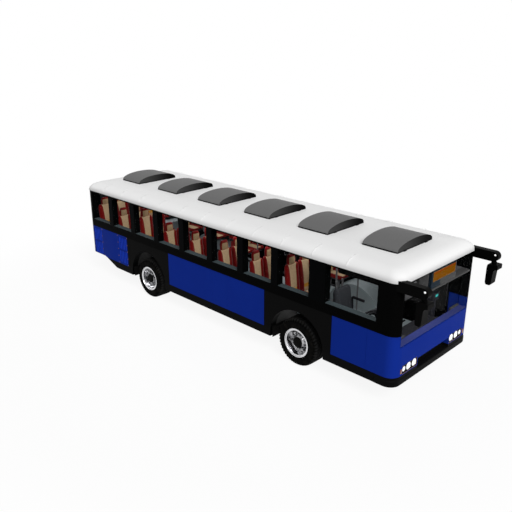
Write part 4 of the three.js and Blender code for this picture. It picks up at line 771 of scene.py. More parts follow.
def seen_directly(tree):
    """A mask of the rays that come from the camera, a mirror or a pane."""
    rays = add_node(tree, "ShaderNodeLightPath", output=None)
    kinds = ("Is Camera Ray", "Is Glossy Ray", "Is Transmission Ray")
    return combined(tree, "MAXIMUM", *(rays[kind] for kind in kinds))


def plain_world(level):
    """White where the camera, a mirror or a pane looks past the bus, and dimmer as a light."""
    world = bpy.data.worlds.new("studio")
    world.use_nodes = True
    bpy.context.scene.world = world
    tree = world.node_tree
    light = add_node(tree, "ShaderNodeMapRange", seen_directly(tree), 0.0, 1.0, level, 1.0)
    connect(tree, tree.nodes["Background"], {"Color": linear("#FFFFFF"), "Strength": light})


FLOOR_HALF = 60.0
FLOOR_GLOW = 0.9  # share of plain white light in the floor beside the bus
GLOW_NEAR, GLOW_FAR = 5.5, 9.0  # metres from the bus's middle where that share rises to the whole


def floor_sheet(colour):
    """A wide plain floor that keeps the bus's soft shadow and shows white beyond it."""
    material, tree, shader, place = blank_material("painted_studio_floor")
    seen = seen_directly(tree)
    connect(tree, shader, {
        "Base Color": layered(tree, colour, (seen, "#FFFFFF")), "Roughness": 0.9, "Specular IOR Level": 0.0,
    })
    away = add_node(tree, "ShaderNodeVectorMath", place, (MIDDLE, 0, 0), operation="DISTANCE", output="Value")
    share = add_node(
        tree, "ShaderNodeMapRange", away, GLOW_NEAR, GLOW_FAR, FLOOR_GLOW, 1.0,
        interpolation_type="SMOOTHSTEP",
    )
    glow = add_node(tree, "ShaderNodeEmission", linear("#FFFFFF"), 1.0)
    mixed = add_node(
        tree, "ShaderNodeMixShader", combined(tree, "MULTIPLY", share, seen), shader.outputs[0], glow
    )
    tree.links.new(mixed, tree.nodes["Material Output"].inputs["Surface"])
    mesh = bpy.data.meshes.new("studio_floor")
    corners = [(-1, -1), (1, -1), (1, 1), (-1, 1)]
    mesh.from_pydata([(x * FLOOR_HALF, y * FLOOR_HALF, 0) for x, y in corners], [], [(0, 1, 2, 3)])
    mesh.materials.append(material)
    sheet = bpy.data.objects.new("studio_floor", mesh)
    bpy.context.scene.collection.objects.link(sheet)


# ---------- finishes on the frame's own nodes ----------

SLOT_FINISH = {
    "body_paint": "two_pack_enamel",
    "roof_paint": "white_gel_coat",
    "trim_plastic": "moulded_abs",
    "mirror_plastic": "mirror_abs",
    "chassis_steel": "chassis_black",
    "floor_lining": "safety_vinyl",
    "hatch_acrylic": "smoked_acrylic",
    "tyre_rubber": "vulcanised_rubber",
    "rim_chrome": "chromed_steel",
    "lamp_lens": "lamp_housing",
    "display_face": "dot_display",
    "seat_fabric": "red_moquette",
    "cab_plastic": "cab_abs",
    "rail_steel": "powder_coat",
    "door_paint": "door_enamel",
}
SMOOTH_BELOW = math.radians(32)  # edges that turn less than this are shaded smooth


def node_finish(name, slot):
    """The finish of a frame node, whose glazing is the side's, the rear window's or another pane's."""
    if slot != "glazing":
        return finish(SLOT_FINISH[slot])
    if name.endswith("glazing"):
        return finish("tinted_side_glass")
    return finish("tinted_rear_glass" if name.startswith("rear") else "tinted_end_glass")


def smoothing_group():
    """Nodes that shade a faceted solid smooth, but for its real edges."""
    group = bpy.data.node_groups.new("smooth_by_angle", "GeometryNodeTree")
    for way in ("INPUT", "OUTPUT"):
        group.interface.new_socket("Geometry", in_out=way, socket_type="NodeSocketGeometry")
    shape = add_node(group, "NodeGroupInput")
    for attribute in ("custom_normal", "sharp_face"):
        shape = add_node(group, "GeometryNodeRemoveAttribute", links={"Geometry": shape, "Name": attribute})
    turn = add_node(group, "GeometryNodeInputMeshEdgeAngle", output="Unsigned Angle")
    less = {"data_type": "FLOAT", "operation": "LESS_THAN"}
    soft = add_node(group, "FunctionNodeCompare", turn, SMOOTH_BELOW, **less)
    for domain, smooth in (("FACE", True), ("EDGE", soft)):
        ends = {"Geometry": shape, "Shade Smooth": smooth}
        shape = add_node(group, "GeometryNodeSetShadeSmooth", domain=domain, links=ends)
    add_node(group, "NodeGroupOutput", shape, output=None)
    return group


class BUS_OT_bodywork(bpy.types.Operator):
    """Gives every kept frame node its finish and smooth curves"""

    bl_idname = "bus.bodywork"
    bl_label = "Bodywork"

    def execute(self, context):
        group = smoothing_group()
        for part in frame["record"]["subparts"]:
            obj = frame["nodes"][part["node"]]
            obj.data.materials.clear()
            obj.data.materials.append(node_finish(part["node"], part["material_slot"]))
            weld = obj.modifiers.new("weld", "WELD")
            weld.merge_threshold = 0.0001
            smooth = obj.modifiers.new("smooth_by_angle", "NODES")
            smooth.node_group = group
        return {"FINISHED"}


# ---------- wheels ----------

TYRE_PROFILE = (  # radius and distance from the tyre's middle, bead to crown, for one half
    (0.262, 0.196), (0.285, 0.208), (0.33, 0.2165), (0.375, 0.2165), (0.405, 0.213), (0.41, 0.2065),
    (0.43, 0.204), (0.444, 0.186), (0.4575, 0.1665),
)
CROWN = AXLE_Z  # the tyre stands on the floor
SHOULDER = 0.41  # radius from which the gaps between blocks cut into the tyre
RIBS = (0.135, 0.1, 0.062, 0.03)  # edges of the tread's ribs from the shoulder in, in pairs with the grooves
LUG_DEPTH, GROOVE_DEPTH = 0.02, 0.012
BLOCK_STOPS = ((0.0, 0), (0.06, 1), (0.56, 1), (0.62, 0))  # share of one block's pitch, and whether it stands
BLOCK_SKEW = 0.35  # how far a shoulder block leans over its width, as a share of the pitch


def tyre_section(lug):
    """One side-to-side section of the tyre; lug is 1 on a shoulder block and 0 between blocks."""
    sunk = LUG_DEPTH * (1 - lug)
    half = [
        (radius - sunk, width - sunk * 0.6) if radius >= SHOULDER else (radius, width)
        for radius, width in TYRE_PROFILE
    ]
    half.append((CROWN - 0.002 - sunk, 0.155))
    level = CROWN - sunk * 0.5
    floor = CROWN - GROOVE_DEPTH
    for i, edge in enumerate(RIBS):
        first, second = (floor, level) if i % 2 else (level, floor)
        half += [(first, edge + 0.004), (second, edge)]
        level = second if second != floor else CROWN
    return half + [(radius, -width) for radius, width in reversed(half)]


def tyre(wheel, blocks):
    """A radial tyre with ribs round its middle and open blocks along its shoulders."""
    low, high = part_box(wheel + "_tyre")
    centre = (low + high) / 2
    bm = bmesh.new()
    skew = BLOCK_SKEW * 2 * math.pi / blocks
    rings = []
    for i in range(blocks):
        for part, lug in BLOCK_STOPS:
            ring = []
            for radius, width in tyre_section(lug):
                lean = skew * max(abs(width) - RIBS[0], 0) / 0.08 * math.copysign(1, width)
                turned = 2 * math.pi * (i + part) / blocks + lean
                x, z = radius * math.cos(turned), radius * math.sin(turned)
                ring.append(bm.verts.new((centre.x + x, centre.y + width, centre.z + z)))
            rings.append(ring)
    bridge(bm, rings, True, 0, 0)
    obj = make_piece(wheel + "_radial_tyre", bm, ["vulcanised_rubber"], wheel + "_wheel", 40)
    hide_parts(wheel + "_tyre")


NUTS = 10
NUT_CIRCLE = 0.142


def wheel_trim(wheel, sign):
    """Hub cover with a ring of twelve small studs, wheel nuts on the disc and a bright beading round the
    rim's edge.
    """
    low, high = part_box(wheel + "_rim")
    centre = (low + high) / 2
    edge, way = (high.y, "+y") if sign > 0 else (low.y, "-y")
    hub = upright(centre.x, edge - sign * 0.0525, centre.z, way)
    bm = bmesh.new()
    cover = [
        (0.103, -0.004), (0.103, 0.014), (0.097, 0.02), (0.074, 0.022), (0.07, 0.03), (0.05, 0.034),
        (0, 0.035),
    ]
    lathe(bm, cover, hub, 40)
    for place in ring_places(hub, 12, 0.088, 0.018):
        lathe(bm, [(0.0085, 0.0), (0.0085, 0.007), (0.006, 0.009), (0, 0.009)], place, 6)
    make_piece(wheel + "_hub_cover", bm, ["moulded_abs"], wheel + "_wheel")
    bm = bmesh.new()
    for place in ring_places(hub, NUTS, NUT_CIRCLE, -0.055, 0.5):
        lathe(bm, [(0.02, 0), (0.02, 0.006), (0.0165, 0.008)], place, 16)
        lathe(bm, [(0.0165, 0.006), (0.0165, 0.03), (0.014, 0.034), (0.009, 0.036), (0, 0.036)], place, 6)
    make_piece(wheel + "_wheel_nuts", bm, ["zinc_plate"], wheel + "_wheel")
    bm = bmesh.new()
    beading = [
        (0.272, -0.006), (0.279, -0.004), (0.281, 0.002), (0.277, 0.006), (0.262, 0.004), (0.256, -0.01),
        (0.262, -0.012),
    ]
    lathe(bm, beading, upright(centre.x, edge - sign * 0.003, centre.z, way), 96, closed=True)
    make_piece(wheel + "_rim_beading", bm, ["chromed_steel"], wheel + "_wheel")


def mud_flap(wheel, sign):
    """A ribbed rubber flap that hangs behind a wheel from the edge of its housing."""
    low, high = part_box(wheel + "_tyre")
    x = (low.x + high.x) / 2 - 0.6
    y0, y1 = sorted((sign * 0.76, sign * 1.232))
    bm = bmesh.new()
    block(bm, (x - 0.004, y0, 0.37), (x + 0.004, y1, 0.6), 0.003)
    for i in range(6):
        y = y0 + 0.05 + (y1 - y0 - 0.1) * i / 5
        block(bm, (x - 0.008, y - 0.008, 0.385), (x + 0.008, y + 0.008, 0.52), 0.003)
    block(bm, (x - 0.012, y0 + 0.01, 0.54), (x + 0.012, y1 - 0.01, 0.57), 0.004)
    make_piece(wheel + "_mud_flap", bm, ["extruded_epdm"], "body")


class BUS_OT_wheels(bpy.types.Operator):
    """Tyres with a moulded tread, hub covers, nuts, beadings and mud flaps"""

    bl_idname = "bus.wheels"
    bl_label = "Wheels"

    def execute(self, context):
        for wheel in WHEELS:
            sign = SIGNS[wheel.split("_")[1]]
            tyre(wheel, context.scene.bus_wheels.blocks)
            wheel_trim(wheel, sign)
            mud_flap(wheel, sign)
        return {"FINISHED"}


# ---------- lamps ----------

BOWLS = ((0.19, 0.066), (0.56, 0.066), (0.87, 0.044))  # share of the lamp's width from its inner end, radius
INDICATOR_OUT = 0.043  # from the headlamp's outer end to the middle of the indicator


def headlamp(side, sign):
    """Two round lamps and a small one in a black housing with a bright bezel, and the indicator beside."""
    low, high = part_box("headlight_" + side)
    inner, outer = sorted((abs(low.y), abs(high.y)))
    face, middle = high.x, (low.z + high.z) / 2 + 0.006
    bm = bmesh.new()
    for share, radius in BOWLS:
        place = upright(face, sign * (inner + (outer - inner) * share), middle, "+x")
        rim_out, rim_in = radius + 0.003, radius - 0.006
        ring = [(rim_out, -0.004), (rim_out, 0.004), (radius - 0.003, 0.006), (rim_in, 0.0), (rim_in, -0.004)]
        lathe(bm, ring, place, 40, 1, closed=True)
        lens = [
            (radius - 0.005, -0.012), (rim_in, 0.001), (radius * 0.8, 0.006), (radius * 0.45, 0.0095),
            (0, 0.0105),
        ]
        lathe(bm, lens, place, 40)
    make_piece("headlamp_lenses_" + side, bm, ["lamp_glass", "chromed_steel"], "body")
    bm = bmesh.new()
    outline = rounded(low.y + 0.004, low.z + 0.004, high.y - 0.004, high.z - 0.004, 0.03)
    section = [(-0.003, -0.004), (0.003, -0.004), (0.003, 0.003), (0.0, 0.004), (-0.003, 0.003)]
    sweep(bm, [(face + 0.003, y, z) for y, z in outline], section, (1, 0, 0), closed=True)
    make_piece("headlamp_bezel_" + side, bm, ["brass_chrome"], "body")
    bm = bmesh.new()
    strip = rounded(low.y + 0.03, low.z + 0.008, high.y - 0.03, low.z + 0.03, 0.008)
    sheet_of(bm, strip, upright(face, 0, 0, "+x"), 0.004)
    make_piece("headlamp_strip_" + side, bm, ["moulded_abs"], "body")
    bm = bmesh.new()
    y = sign * (outer + INDICATOR_OUT)
    round_corner = max(abs(y) - (SIDE - CORNER), 0)
    bend = FRONT - (CORNER - math.sqrt(CORNER ** 2 - round_corner ** 2))
    place = Matrix.Translation((bend - 0.002, y, middle - 0.01)) @ upright(0, 0, 0, "+x")
    sheet_of(bm, rounded(-0.02, -0.042, 0.02, 0.042, 0.012), place, 0.01)
    outer_edges = [edge for edge in bm.edges if all(vert.co.x > bend + 0.006 for vert in edge.verts)]
    bmesh.ops.bevel(bm, geom=outer_edges, offset=0.004, segments=2, affect="EDGES", profile=0.5)
    make_piece("front_indicator_" + side, bm, ["amber_polycarbonate"], "body")


TAIL_COLOURS = ["red_polycarbonate", "amber_polycarbonate", "lamp_glass"]
# Each lens's foot and head, and which of the colours it has.
TAIL_LENSES = ((0.71, 0.8, 0), (0.815, 0.895, 1), (0.91, 0.97, 2), (0.98, 1.05, 0))


def tail_lamp(side, sign):
    """A stack of lenses in the pocket: tail and stop, indicator, reversing, fog."""
    y0, y1 = sorted((sign * 0.932, sign * 1.043))
    bm = bmesh.new()
    for z0, z1, colour in TAIL_LENSES:
        block(bm, (REAR, y0, z0), (REAR + 0.017, y1, z1), 0.006, colour)
        for i in range(4):
            y = y0 + 0.012 + (y1 - y0 - 0.024) * i / 3
            low, high = (REAR - 0.002, y - 0.002, z0 + 0.008), (REAR + 0.004, y + 0.002, z1 - 0.008)
            block(bm, low, high, 0.0, colour)
    make_piece("tail_lamp_" + side, bm, TAIL_COLOURS, "body")
    bm = bmesh.new()
    path = [(REAR + 0.001, y, z) for y, z in rounded(y0 - 0.004, 0.704, y1 + 0.004, 1.056, 0.016)]
    section = [(-0.004, -0.004), (0.005, -0.004), (0.005, 0.004), (-0.004, 0.005)]
    sweep(bm, path, section, (-1, 0, 0), closed=True)
    make_piece("tail_lamp_gasket_" + side, bm, ["extruded_epdm"], "body")


class BUS_OT_lamps(bpy.types.Operator):
    """Headlamps, indicators and tail lamps"""

    bl_idname = "bus.lamps"
    bl_label = "Lamps"

    def execute(self, context):
        for side, sign in SIGNS.items():
            headlamp(side, sign)
            tail_lamp(side, sign)
        return {"FINISHED"}


# ---------- doors ----------

LEAVES = ("front_door_front_leaf", "front_door_rear_leaf", "mid_door_front_leaf", "mid_door_rear_leaf")
LEAF_HALF = 0.022  # half a leaf's thickness
LEAF_REACH = 0.439  # from a leaf's end axis to its meeting edge
LEAF_GAP = 0.006  # round each leaf
PANE_ENDS = (0.053, 0.364)  # of a leaf's window, from its end axis
PANE_LOW, PANE_HIGH = 0.8, 2.02
RAIL_IN = 0.017  # from the end axis, where the folded leaves stand furthest apart
RAIL_LOW, RAIL_HIGH = 0.95, 1.71


def door_leaf_trim(leaf):
    """The leaf's window in its rubber, a grab rail inside and, on front leaves, the meeting edge's seal."""
    low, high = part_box(leaf)
    nose = 1 if "front_leaf" in leaf else -1
    axis = high.x - LEAF_HALF if nose > 0 else low.x + LEAF_HALF
    x0, x1 = sorted(axis - nose * end for end in PANE_ENDS)
    plane = SIDE - LEAF_HALF
    bm = bmesh.new()
    outline = rounded(x0 - 0.006, PANE_LOW - 0.006, x1 + 0.006, PANE_HIGH + 0.006, 0.034)
    outward = Matrix(((1, 0, 0, 0), (0, 0, 1, plane - 0.003), (0, 1, 0, 0), (0, 0, 0, 1)))
    sheet_of(bm, outline, outward, 0.006)
    make_piece(leaf + "_pane", bm, ["door_glass"], leaf)
    bm = bmesh.new()
    rim_line = rounded(x0 - 0.004, PANE_LOW - 0.004, x1 + 0.004, PANE_HIGH + 0.004, 0.033)
    lip = [(-0.012, -0.012), (-0.004, -0.014), (0.012, -0.001), (0.012, 0.003), (-0.008, 0.004)]
    for y, out in ((plane + LEAF_HALF, 1), (plane - LEAF_HALF, -1)):
        section = [(aside, up * out) for aside, up in lip]
        sweep(bm, [(x, y, z) for x, z in rim_line], section, (0, 1, 0), closed=True)
    make_piece(leaf + "_gasket", bm, ["extruded_epdm"], leaf)
    bm = bmesh.new()
    x, y = axis - nose * RAIL_IN, plane - LEAF_HALF
    rail = [
        (x, y + 0.004, RAIL_LOW), (x, y - 0.03, 0.96), (x, y - 0.04, 0.98), (x, y - 0.04, 1.68),
        (x, y - 0.03, 1.7), (x, y + 0.004, RAIL_HIGH),
    ]
    sweep(bm, rail, circle(0.009, 10), (1, 0, 0))
    for z in (RAIL_LOW, RAIL_HIGH):
        lathe(bm, [(0.016, -0.003), (0.016, 0.003), (0.012, 0.006)], upright(x, y, z, "-y"), 20)
    make_piece(leaf + "_grab_rail", bm, ["powder_coat"], leaf)
    if nose > 0:
        bm = bmesh.new()
        meeting = [(axis - LEAF_REACH, plane, z) for z in (low.z + 0.01, high.z - 0.01)]
        sweep(bm, meeting, seal_lip(0.0054, 0.016), (0, 1, 0))
        make_piece(leaf + "_meeting_seal", bm, ["extruded_epdm"], leaf)


def seal_lip(reach, half_width):
    """Section of a rubber lip that stands up to reach from the face it is stuck to."""
    shoulder, narrow = reach - 0.0015, half_width - 0.0016
    return [(-0.001, -half_width), (shoulder, -half_width), (reach, 0.0016 - half_width),
            (reach, narrow), (shoulder, half_width), (-0.001, half_width)]


def doorway_seals(door):
    """Rubber lips on the jambs, head and sill, short of the leaves' ends and outside their pins."""
    rear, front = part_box(door + "_rear_leaf")[0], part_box(door + "_front_leaf")[1]
    jambs = rear.x - LEAF_GAP, front.x + LEAF_GAP
    plane, outside = SIDE - LEAF_HALF, SIDE - 0.0052
    bm = bmesh.new()
    for path, lip in (
        ([(jambs[1], plane, z) for z in (rear.z, front.z)], seal_lip(0.0052, 0.010)),
        ([(jambs[0], plane, z) for z in (front.z, rear.z)], seal_lip(0.0033, 0.010)),
        ([(x, outside, front.z + 0.0003) for x in reversed(jambs)], seal_lip(0.0055, 0.0032)),
        ([(x, outside, rear.z - 0.0003) for x in jambs], seal_lip(0.0055, 0.0032)),
    ):
        sweep(bm, path, lip, (0, 1, 0))
    make_piece(door + "_frame_seal", bm, ["extruded_epdm"], "body")


class BUS_OT_doors(bpy.types.Operator):
    """Panes, gaskets, seals and grab rails of the folding doors"""

    bl_idname = "bus.doors"
    bl_label = "Doors"

    def execute(self, context):
        for leaf in LEAVES:
            door_leaf_trim(leaf)
        for door in ("front_door", "mid_door"):
            doorway_seals(door)
        return {"FINISHED"}


# ---------- roof fittings ----------

STRIPS = [300 + 728 * i for i in range(1, 12)]  # cover strips over the roof's joints, behind the front face
ROOF_RISE = 0.187
ROOF_INSET = 0.29
HINGE_PLACES = (-0.34, 0.34)  # across the bus


def roof_edge_curve():
    """The roof's rolled edge in cross section, above its lip: distance from the middle and height."""
    curve = []
    for i in range(1, 9):
        turn = math.pi / 2 * i / 8
        inset = ROOF_INSET * (1 - math.cos(turn))
        curve.append((SIDE + 0.015 - inset, CAP + 0.02 + ROOF_RISE * math.sin(turn)))
    return curve


def roof_strips():
    """Thin aluminium cover strips over the joints along the rolled edges."""
    bm = bmesh.new()
    section = [(-0.004, -0.004), (0.004, -0.004), (0.003, 0.001), (-0.003, 0.001)]
    for station in STRIPS:
        for sign in (1, -1):
            path = [(back(station), sign * y, z + 0.0015) for y, z in roof_edge_curve()]
            sweep(bm, path, section, (0, sign * 0.7, 0.7))
    make_piece("roof_cover_strips", bm, ["painted_aluminium"], "body")


def hatch_trim(index):
    """The lid's rubber seal, which is open at its front end, and the hinges there."""
    name = f"roof_hatch_{index}"
    low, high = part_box(name)
    bm = bmesh.new()
    corners = rounded(low.x - 0.003, low.y - 0.003, high.x, high.y + 0.003, 0.012, 2)
    rear = [point for point in corners if point[0] < (low.x + high.x) / 2]
    rear.sort(key=lambda point: -point[1])
    front = high.x - 0.035  # the seal stops short of the hinges
    foot = [(front, high.y + 0.003), *rear, (front, low.y - 0.003)]
    section = [(-0.004, -0.010), (0.006, -0.010), (0.007, 0.004), (0.002, 0.012), (-0.004, 0.012)]
    sweep(bm, [(x, y, low.z + 0.010) for x, y in foot], section, (0, 0, 1))
    make_piece(name + "_seal", bm, ["extruded_epdm"], name)
    bm = bmesh.new()
    barrel = [(0, -0.04), (0.006, -0.04), (0.007, -0.03), (0.007, 0.03), (0.006, 0.04), (0, 0.04)]
    for y in HINGE_PLACES:
        lathe(bm, barrel, upright(high.x + 0.009, y, low.z + 0.002, "+y"), 12)
    make_piece(name + "_hinges", bm, ["extruded_epdm"], "body")


class BUS_OT_roof_fittings(bpy.types.Operator):
    """Cover strips, hatch seals and hinges"""

    bl_idname = "bus.roof_fittings"
    bl_label = "Roof fittings"

    def execute(self, context):
        roof_strips()
        for index in range(1, 7):
            hatch_trim(index)
        return {"FINISHED"}


# ---------- mirrors ----------

MIRROR_Y, MIRROR_HALF, MIRROR_TOP = 1.17, 0.082, 2.03  # middle and half width of the head, and its top
SCREW_Y = {"right": -1.23, "left": 1.11}


def mirror_trim(side, sign):
    """The silvered glass behind each head, its black surround with a ball joint, and the arm's screw, which
    glows white as a painted highlight.
    """
    middle = sign * MIRROR_Y
    face = FRONT + 0.28 - 0.001
    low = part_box("mirror_" + side)[0]
    outline = rounded(-MIRROR_HALF, low.z + 0.03, MIRROR_HALF, MIRROR_TOP - 0.05, 0.02)
    bm = bmesh.new()
    rearward = Matrix(((0, 0, -1, face), (1, 0, 0, middle), (0, 1, 0, 0), (0, 0, 0, 1)))
    sheet_of(bm, outline, rearward, 0.003)
    make_piece("mirror_glass_" + side, bm, ["silvered_glass"], "body")
    bm = bmesh.new()
    section = [(-0.004, -0.004), (0.006, -0.004), (0.005, 0.004), (-0.003, 0.006)]
    sweep(bm, [(face, middle + y, z) for y, z in outline], section, (-1, 0, 0), closed=True)
    ball = [(0.03, -0.02), (0.045, -0.012), (0.05, 0.0), (0.045, 0.012), (0.03, 0.02)]
    lathe(bm, ball, upright(FRONT + 0.36, middle, 2.05, "+z"), 28)
    make_piece("mirror_surround_" + side, bm, ["mirror_abs"], "body")
    bm = bmesh.new()
    head = [(0.0, 0.004), (0.014, 0.004), (0.017, 0.002), (0.018, -0.003)]
    lathe(bm, head, upright(FRONT + 0.386, SCREW_Y[side], 2.2, "-y"), 20)
    # Painted highlight: the screw head is finished in glowing white lamp glass, standing in for a glint.
    make_piece("mirror_arm_screw_" + side, bm, ["lamp_glass"], "body")


class BUS_OT_mirrors(bpy.types.Operator):
    """Glass, surrounds and screws of the mirrors"""

    bl_idname = "bus.mirrors"
    bl_label = "Mirrors"

    def execute(self, context):
        for side, sign in SIGNS.items():
            mirror_trim(side, sign)
        return {"FINISHED"}


# ---------- padded forms ----------

def grid_form(columns, rows, point, material):
    """A closed form of a front and a back face on one grid, which share the grid's border.

    point(u, v, side) gives a place, material(u, v, side) a face's index; returns places, faces and seams."""
    places, seams, faces, index = [], [], [], {}
    last_u, last_v = len(columns) - 1, len(rows) - 1
    for side in (1, -1):
        for i, u in enumerate(columns):
            for j, v in enumerate(rows):
                border = i in (0, last_u) or j in (0, last_v)
                if border and side < 0:
                    index[i, j, side] = index[i, j, 1]
                    continue
                index[i, j, side] = len(places)
                if border or side < 0 or abs(abs(u) - 0.5) < 1e-6:
                    seams.append(len(places))
                places.append(point(u, v, side))
        for i in range(last_u):
            for j in range(last_v):
                steps = ((i, j), (i + 1, j), (i + 1, j + 1), (i, j + 1))
                quad = [index[a, b, side] for a, b in steps]
                middle = ((columns[i] + columns[i + 1]) / 2, (rows[j] + rows[j + 1]) / 2)
                faces.append((quad if side > 0 else quad[::-1], material(*middle, side)))
    return places, faces, seams


PUFF_STEPS = 20


def puffed(places, faces, seams, cap=0.012):
    """The same form as cloth under air pressure, held at its seams; no point moves further than cap."""
    mesh = bpy.data.meshes.new("cloth_work")
    mesh.from_pydata([tuple(p) for p in places], [], [quad for quad, _ in faces])
    obj = bpy.data.objects.new("cloth_work", mesh)
    scene = bpy.context.scene
    scene.collection.objects.link(obj)
    obj.vertex_groups.new(name="seams").add(seams, 1.0, "REPLACE")
    cloth = obj.modifiers.new("cloth", "CLOTH")
    cloth.settings.vertex_group_mass = "seams"
    cloth.settings.use_pressure = True
    cloth.settings.uniform_pressure_force = scene.bus_seats.pressure
    cloth.settings.effector_weights.gravity = 0.0
    cloth.point_cache.frame_start = 1
    cloth.point_cache.frame_end = PUFF_STEPS
    for step in range(1, PUFF_STEPS + 1):
        scene.frame_set(step)
    settled = obj.evaluated_get(bpy.context.evaluated_depsgraph_get()).to_mesh()
    result = []
    for place, vert in zip(places, settled.vertices):
        move = vert.co - Vector(place)
        if move.length > cap:
            move *= cap / move.length
        result.append(Vector(place) + move)
    obj.modifiers.remove(cloth)
    bpy.data.objects.remove(obj)
    bpy.data.meshes.remove(mesh)
    scene.frame_set(1)
    return result, faces


def stamp(bm, form, matrix):
    """One copy of a form."""
    places, faces = form
    verts = [bm.verts.new(matrix @ Vector(p)) for p in places]
    for quad, material in faces:
        corners = list(dict.fromkeys(verts[i] for i in quad))
        if len(corners) > 2:
            bm.faces.new(corners).material_index = material


def rim(distance, radius):
    """How far a rounded edge has risen to the full thickness, from 0 at the edge to 1."""
    share = 1 - min(max(distance / radius, 0.0), 1.0)
    return math.sqrt(max(1 - share * share, 0.0))


def narrowed(v, start, least):
    """A share of the full width that falls along a quarter circle from 1 at start to least at v = 1."""
    past = max(0.0, (v - start) / (1 - start))
    return least + (1 - least) * math.sqrt(max(1 - past * past, 0))


def spaced(*stops):
    """A list of values that runs between stops of (value, steps to the next)."""
    values = []
    for (start, steps), (end, _) in zip(stops, stops[1:]):
        values += [start + (end - start) * i / steps for i in range(steps)]
    return values + [stops[-1][0]]


BRAID_LOW, BRAID_HIGH = 0.156, 0.266  # the gold braid, as shares of the backrest's height
ACROSS = spaced((-1, 2), (-0.94, 4), (-0.5, 6), (0.5, 4), (0.94, 2), (1, 1))
UPWARD = spaced((0, 2), (0.05, 3), (BRAID_LOW, 3), (BRAID_HIGH, 17), (0.93, 3), (0.965, 2), (1, 1))
HEAD_ROWS = spaced((0, 2), (0.06, 3), (0.22, 6), (0.77, 3), (0.94, 2), (1, 1))
DEEP_ROWS = spaced((0, 2), (0.06, 12), (0.93, 3), (1, 1))
SEAT_WIDTH, BACK_HEIGHT, BACK_LEAN, BACK_THICK, TOP_THICK = 0.355, 0.61, 0.075, 0.085, 0.06
CUSHION_DEPTH, CUSHION_THICK = 0.38, 0.09
HEAD_LOW, HEAD_HIGH, HEAD_HALF = 0.55, 0.79, 0.104


def across(u, half, insert):
    """The y of column u, whose seams lie at the insert's edges."""
    share = abs(u)
    y = insert * share / 0.5 if share <= 0.5 else insert + (half - insert) * (share - 0.5) / 0.5
    return math.copysign(y, u)


def bolster(u):
    """How far the bolster has swelled at column u, from 0 at its seams to 1 between them."""
    return math.sin(math.pi * (abs(u) - 0.5) / 0.5) ** 0.8


def back_insert(v):
    """Half width of the beige insert: it widens upward and ends in two pointed shoulders."""
    wing = max(0.0, (v - 0.84) / 0.12)
    return 0.074 + 0.016 * v + 0.018 * min(wing, 1.0) ** 2


def backrest_point(u, v, side):
    """v runs from the backrest's foot to its rounded top."""
    half = SEAT_WIDTH / 2 * narrowed(v, 0.84, 0.66)
    y = across(u, half, min(back_insert(v), half - 0.02))
    z = -0.03 + (BACK_HEIGHT + 0.03) * v
    thick = BACK_THICK + (TOP_THICK - BACK_THICK) * v
    edge = min(half - abs(y), z + 0.03, BACK_HEIGHT - z)
    x = -BACK_LEAN * v - thick / 2 + side * thick / 2 * rim(edge, 0.028)
    if side > 0 and edge > 0:
        soft = rim(edge, 0.04)
        if abs(u) > 0.5:
            x += 0.02 * bolster(u) * soft
        else:
            x += (0.006 * math.cos(math.pi * u) + 0.01 * math.sin(math.pi * v)) * soft - 0.004
    return Vector((x, y, z))


def backrest_cloth(u, v, side):
    """0 red, 1 beige, 2 gold braid, 3 moulded shell."""
    if side < 0:
        return 3 if abs(u) < 0.94 and v < 0.96 else 0
    if abs(u) > 0.5:
        return 0
    return 2 if BRAID_LOW < v < BRAID_HIGH else 1


def cushion_point(u, v, side):
    """v runs from the backrest to the rounded front edge."""
    half = SEAT_WIDTH / 2 * narrowed(v, 0.8, 0.9)
    y = across(u, half, 0.082)
    x = -0.01 + (CUSHION_DEPTH + 0.01) * v
    edge = min(half - abs(y), CUSHION_DEPTH - x, x + 0.01)
    z = -CUSHION_THICK / 2 + side * CUSHION_THICK / 2 * rim(edge, 0.034)
    if side > 0 and edge > 0:
        soft = rim(edge, 0.04)
        if abs(u) > 0.5:
            z += 0.014 * bolster(u) * soft
        else:
            z += 0.006 * math.cos(math.pi * u) * soft - 0.004
        if abs(u) < 0.5:
            z -= 0.012 * math.exp(-(((v - 0.35) / 0.25) ** 2))
    return Vector((x, y, z))


def cushion_cloth(u, v, side):
    """1 beige insert, 0 red bolsters, 3 moulded shell."""
    if side < 0:
        return 3
    return 1 if abs(u) < 0.5 and v < 0.93 else 0


def on_pad(u, v, side):
    """Whether a place is on the headrest's beige pad."""
    return side > 0 and abs(u) < 0.5 and 0.22 < v < 0.77


def headrest_point(u, v, side):
    """A red arch whose front carries a beige pad with one tuft."""
    half = HEAD_HALF * narrowed(v, 0.55, 0.5)
    y = across(u, half, half * 0.74)
    z = HEAD_LOW + (HEAD_HIGH - HEAD_LOW) * v
    edge = min(half - abs(y), z - HEAD_LOW, HEAD_HIGH - z)
    x = -BACK_LEAN - 0.03 - 0.014 * v + side * 0.028 * rim(edge, 0.024)
    if on_pad(u, v, side):
        x += 0.012
        x -= 0.012 * math.exp(-((y / 0.012) ** 2) - (((v - 0.34) / 0.06) ** 2))
    return Vector((x, y, z))


def headrest_cloth(u, v, side):
    """1 beige pad, 0 red arch."""
    return 1 if on_pad(u, v, side) else 0


FORMS = {}


def seat_forms():
    """The three padded forms of a passenger seat, puffed once and copied."""
    if not FORMS:
        FORMS["back"] = puffed(*grid_form(ACROSS, UPWARD, backrest_point, backrest_cloth))
        FORMS["cushion"] = puffed(*grid_form(ACROSS, DEEP_ROWS, cushion_point, cushion_cloth))
        FORMS["headrest"] = puffed(*grid_form(ACROSS, HEAD_ROWS, headrest_point, headrest_cloth), cap=0.006)
    return FORMS


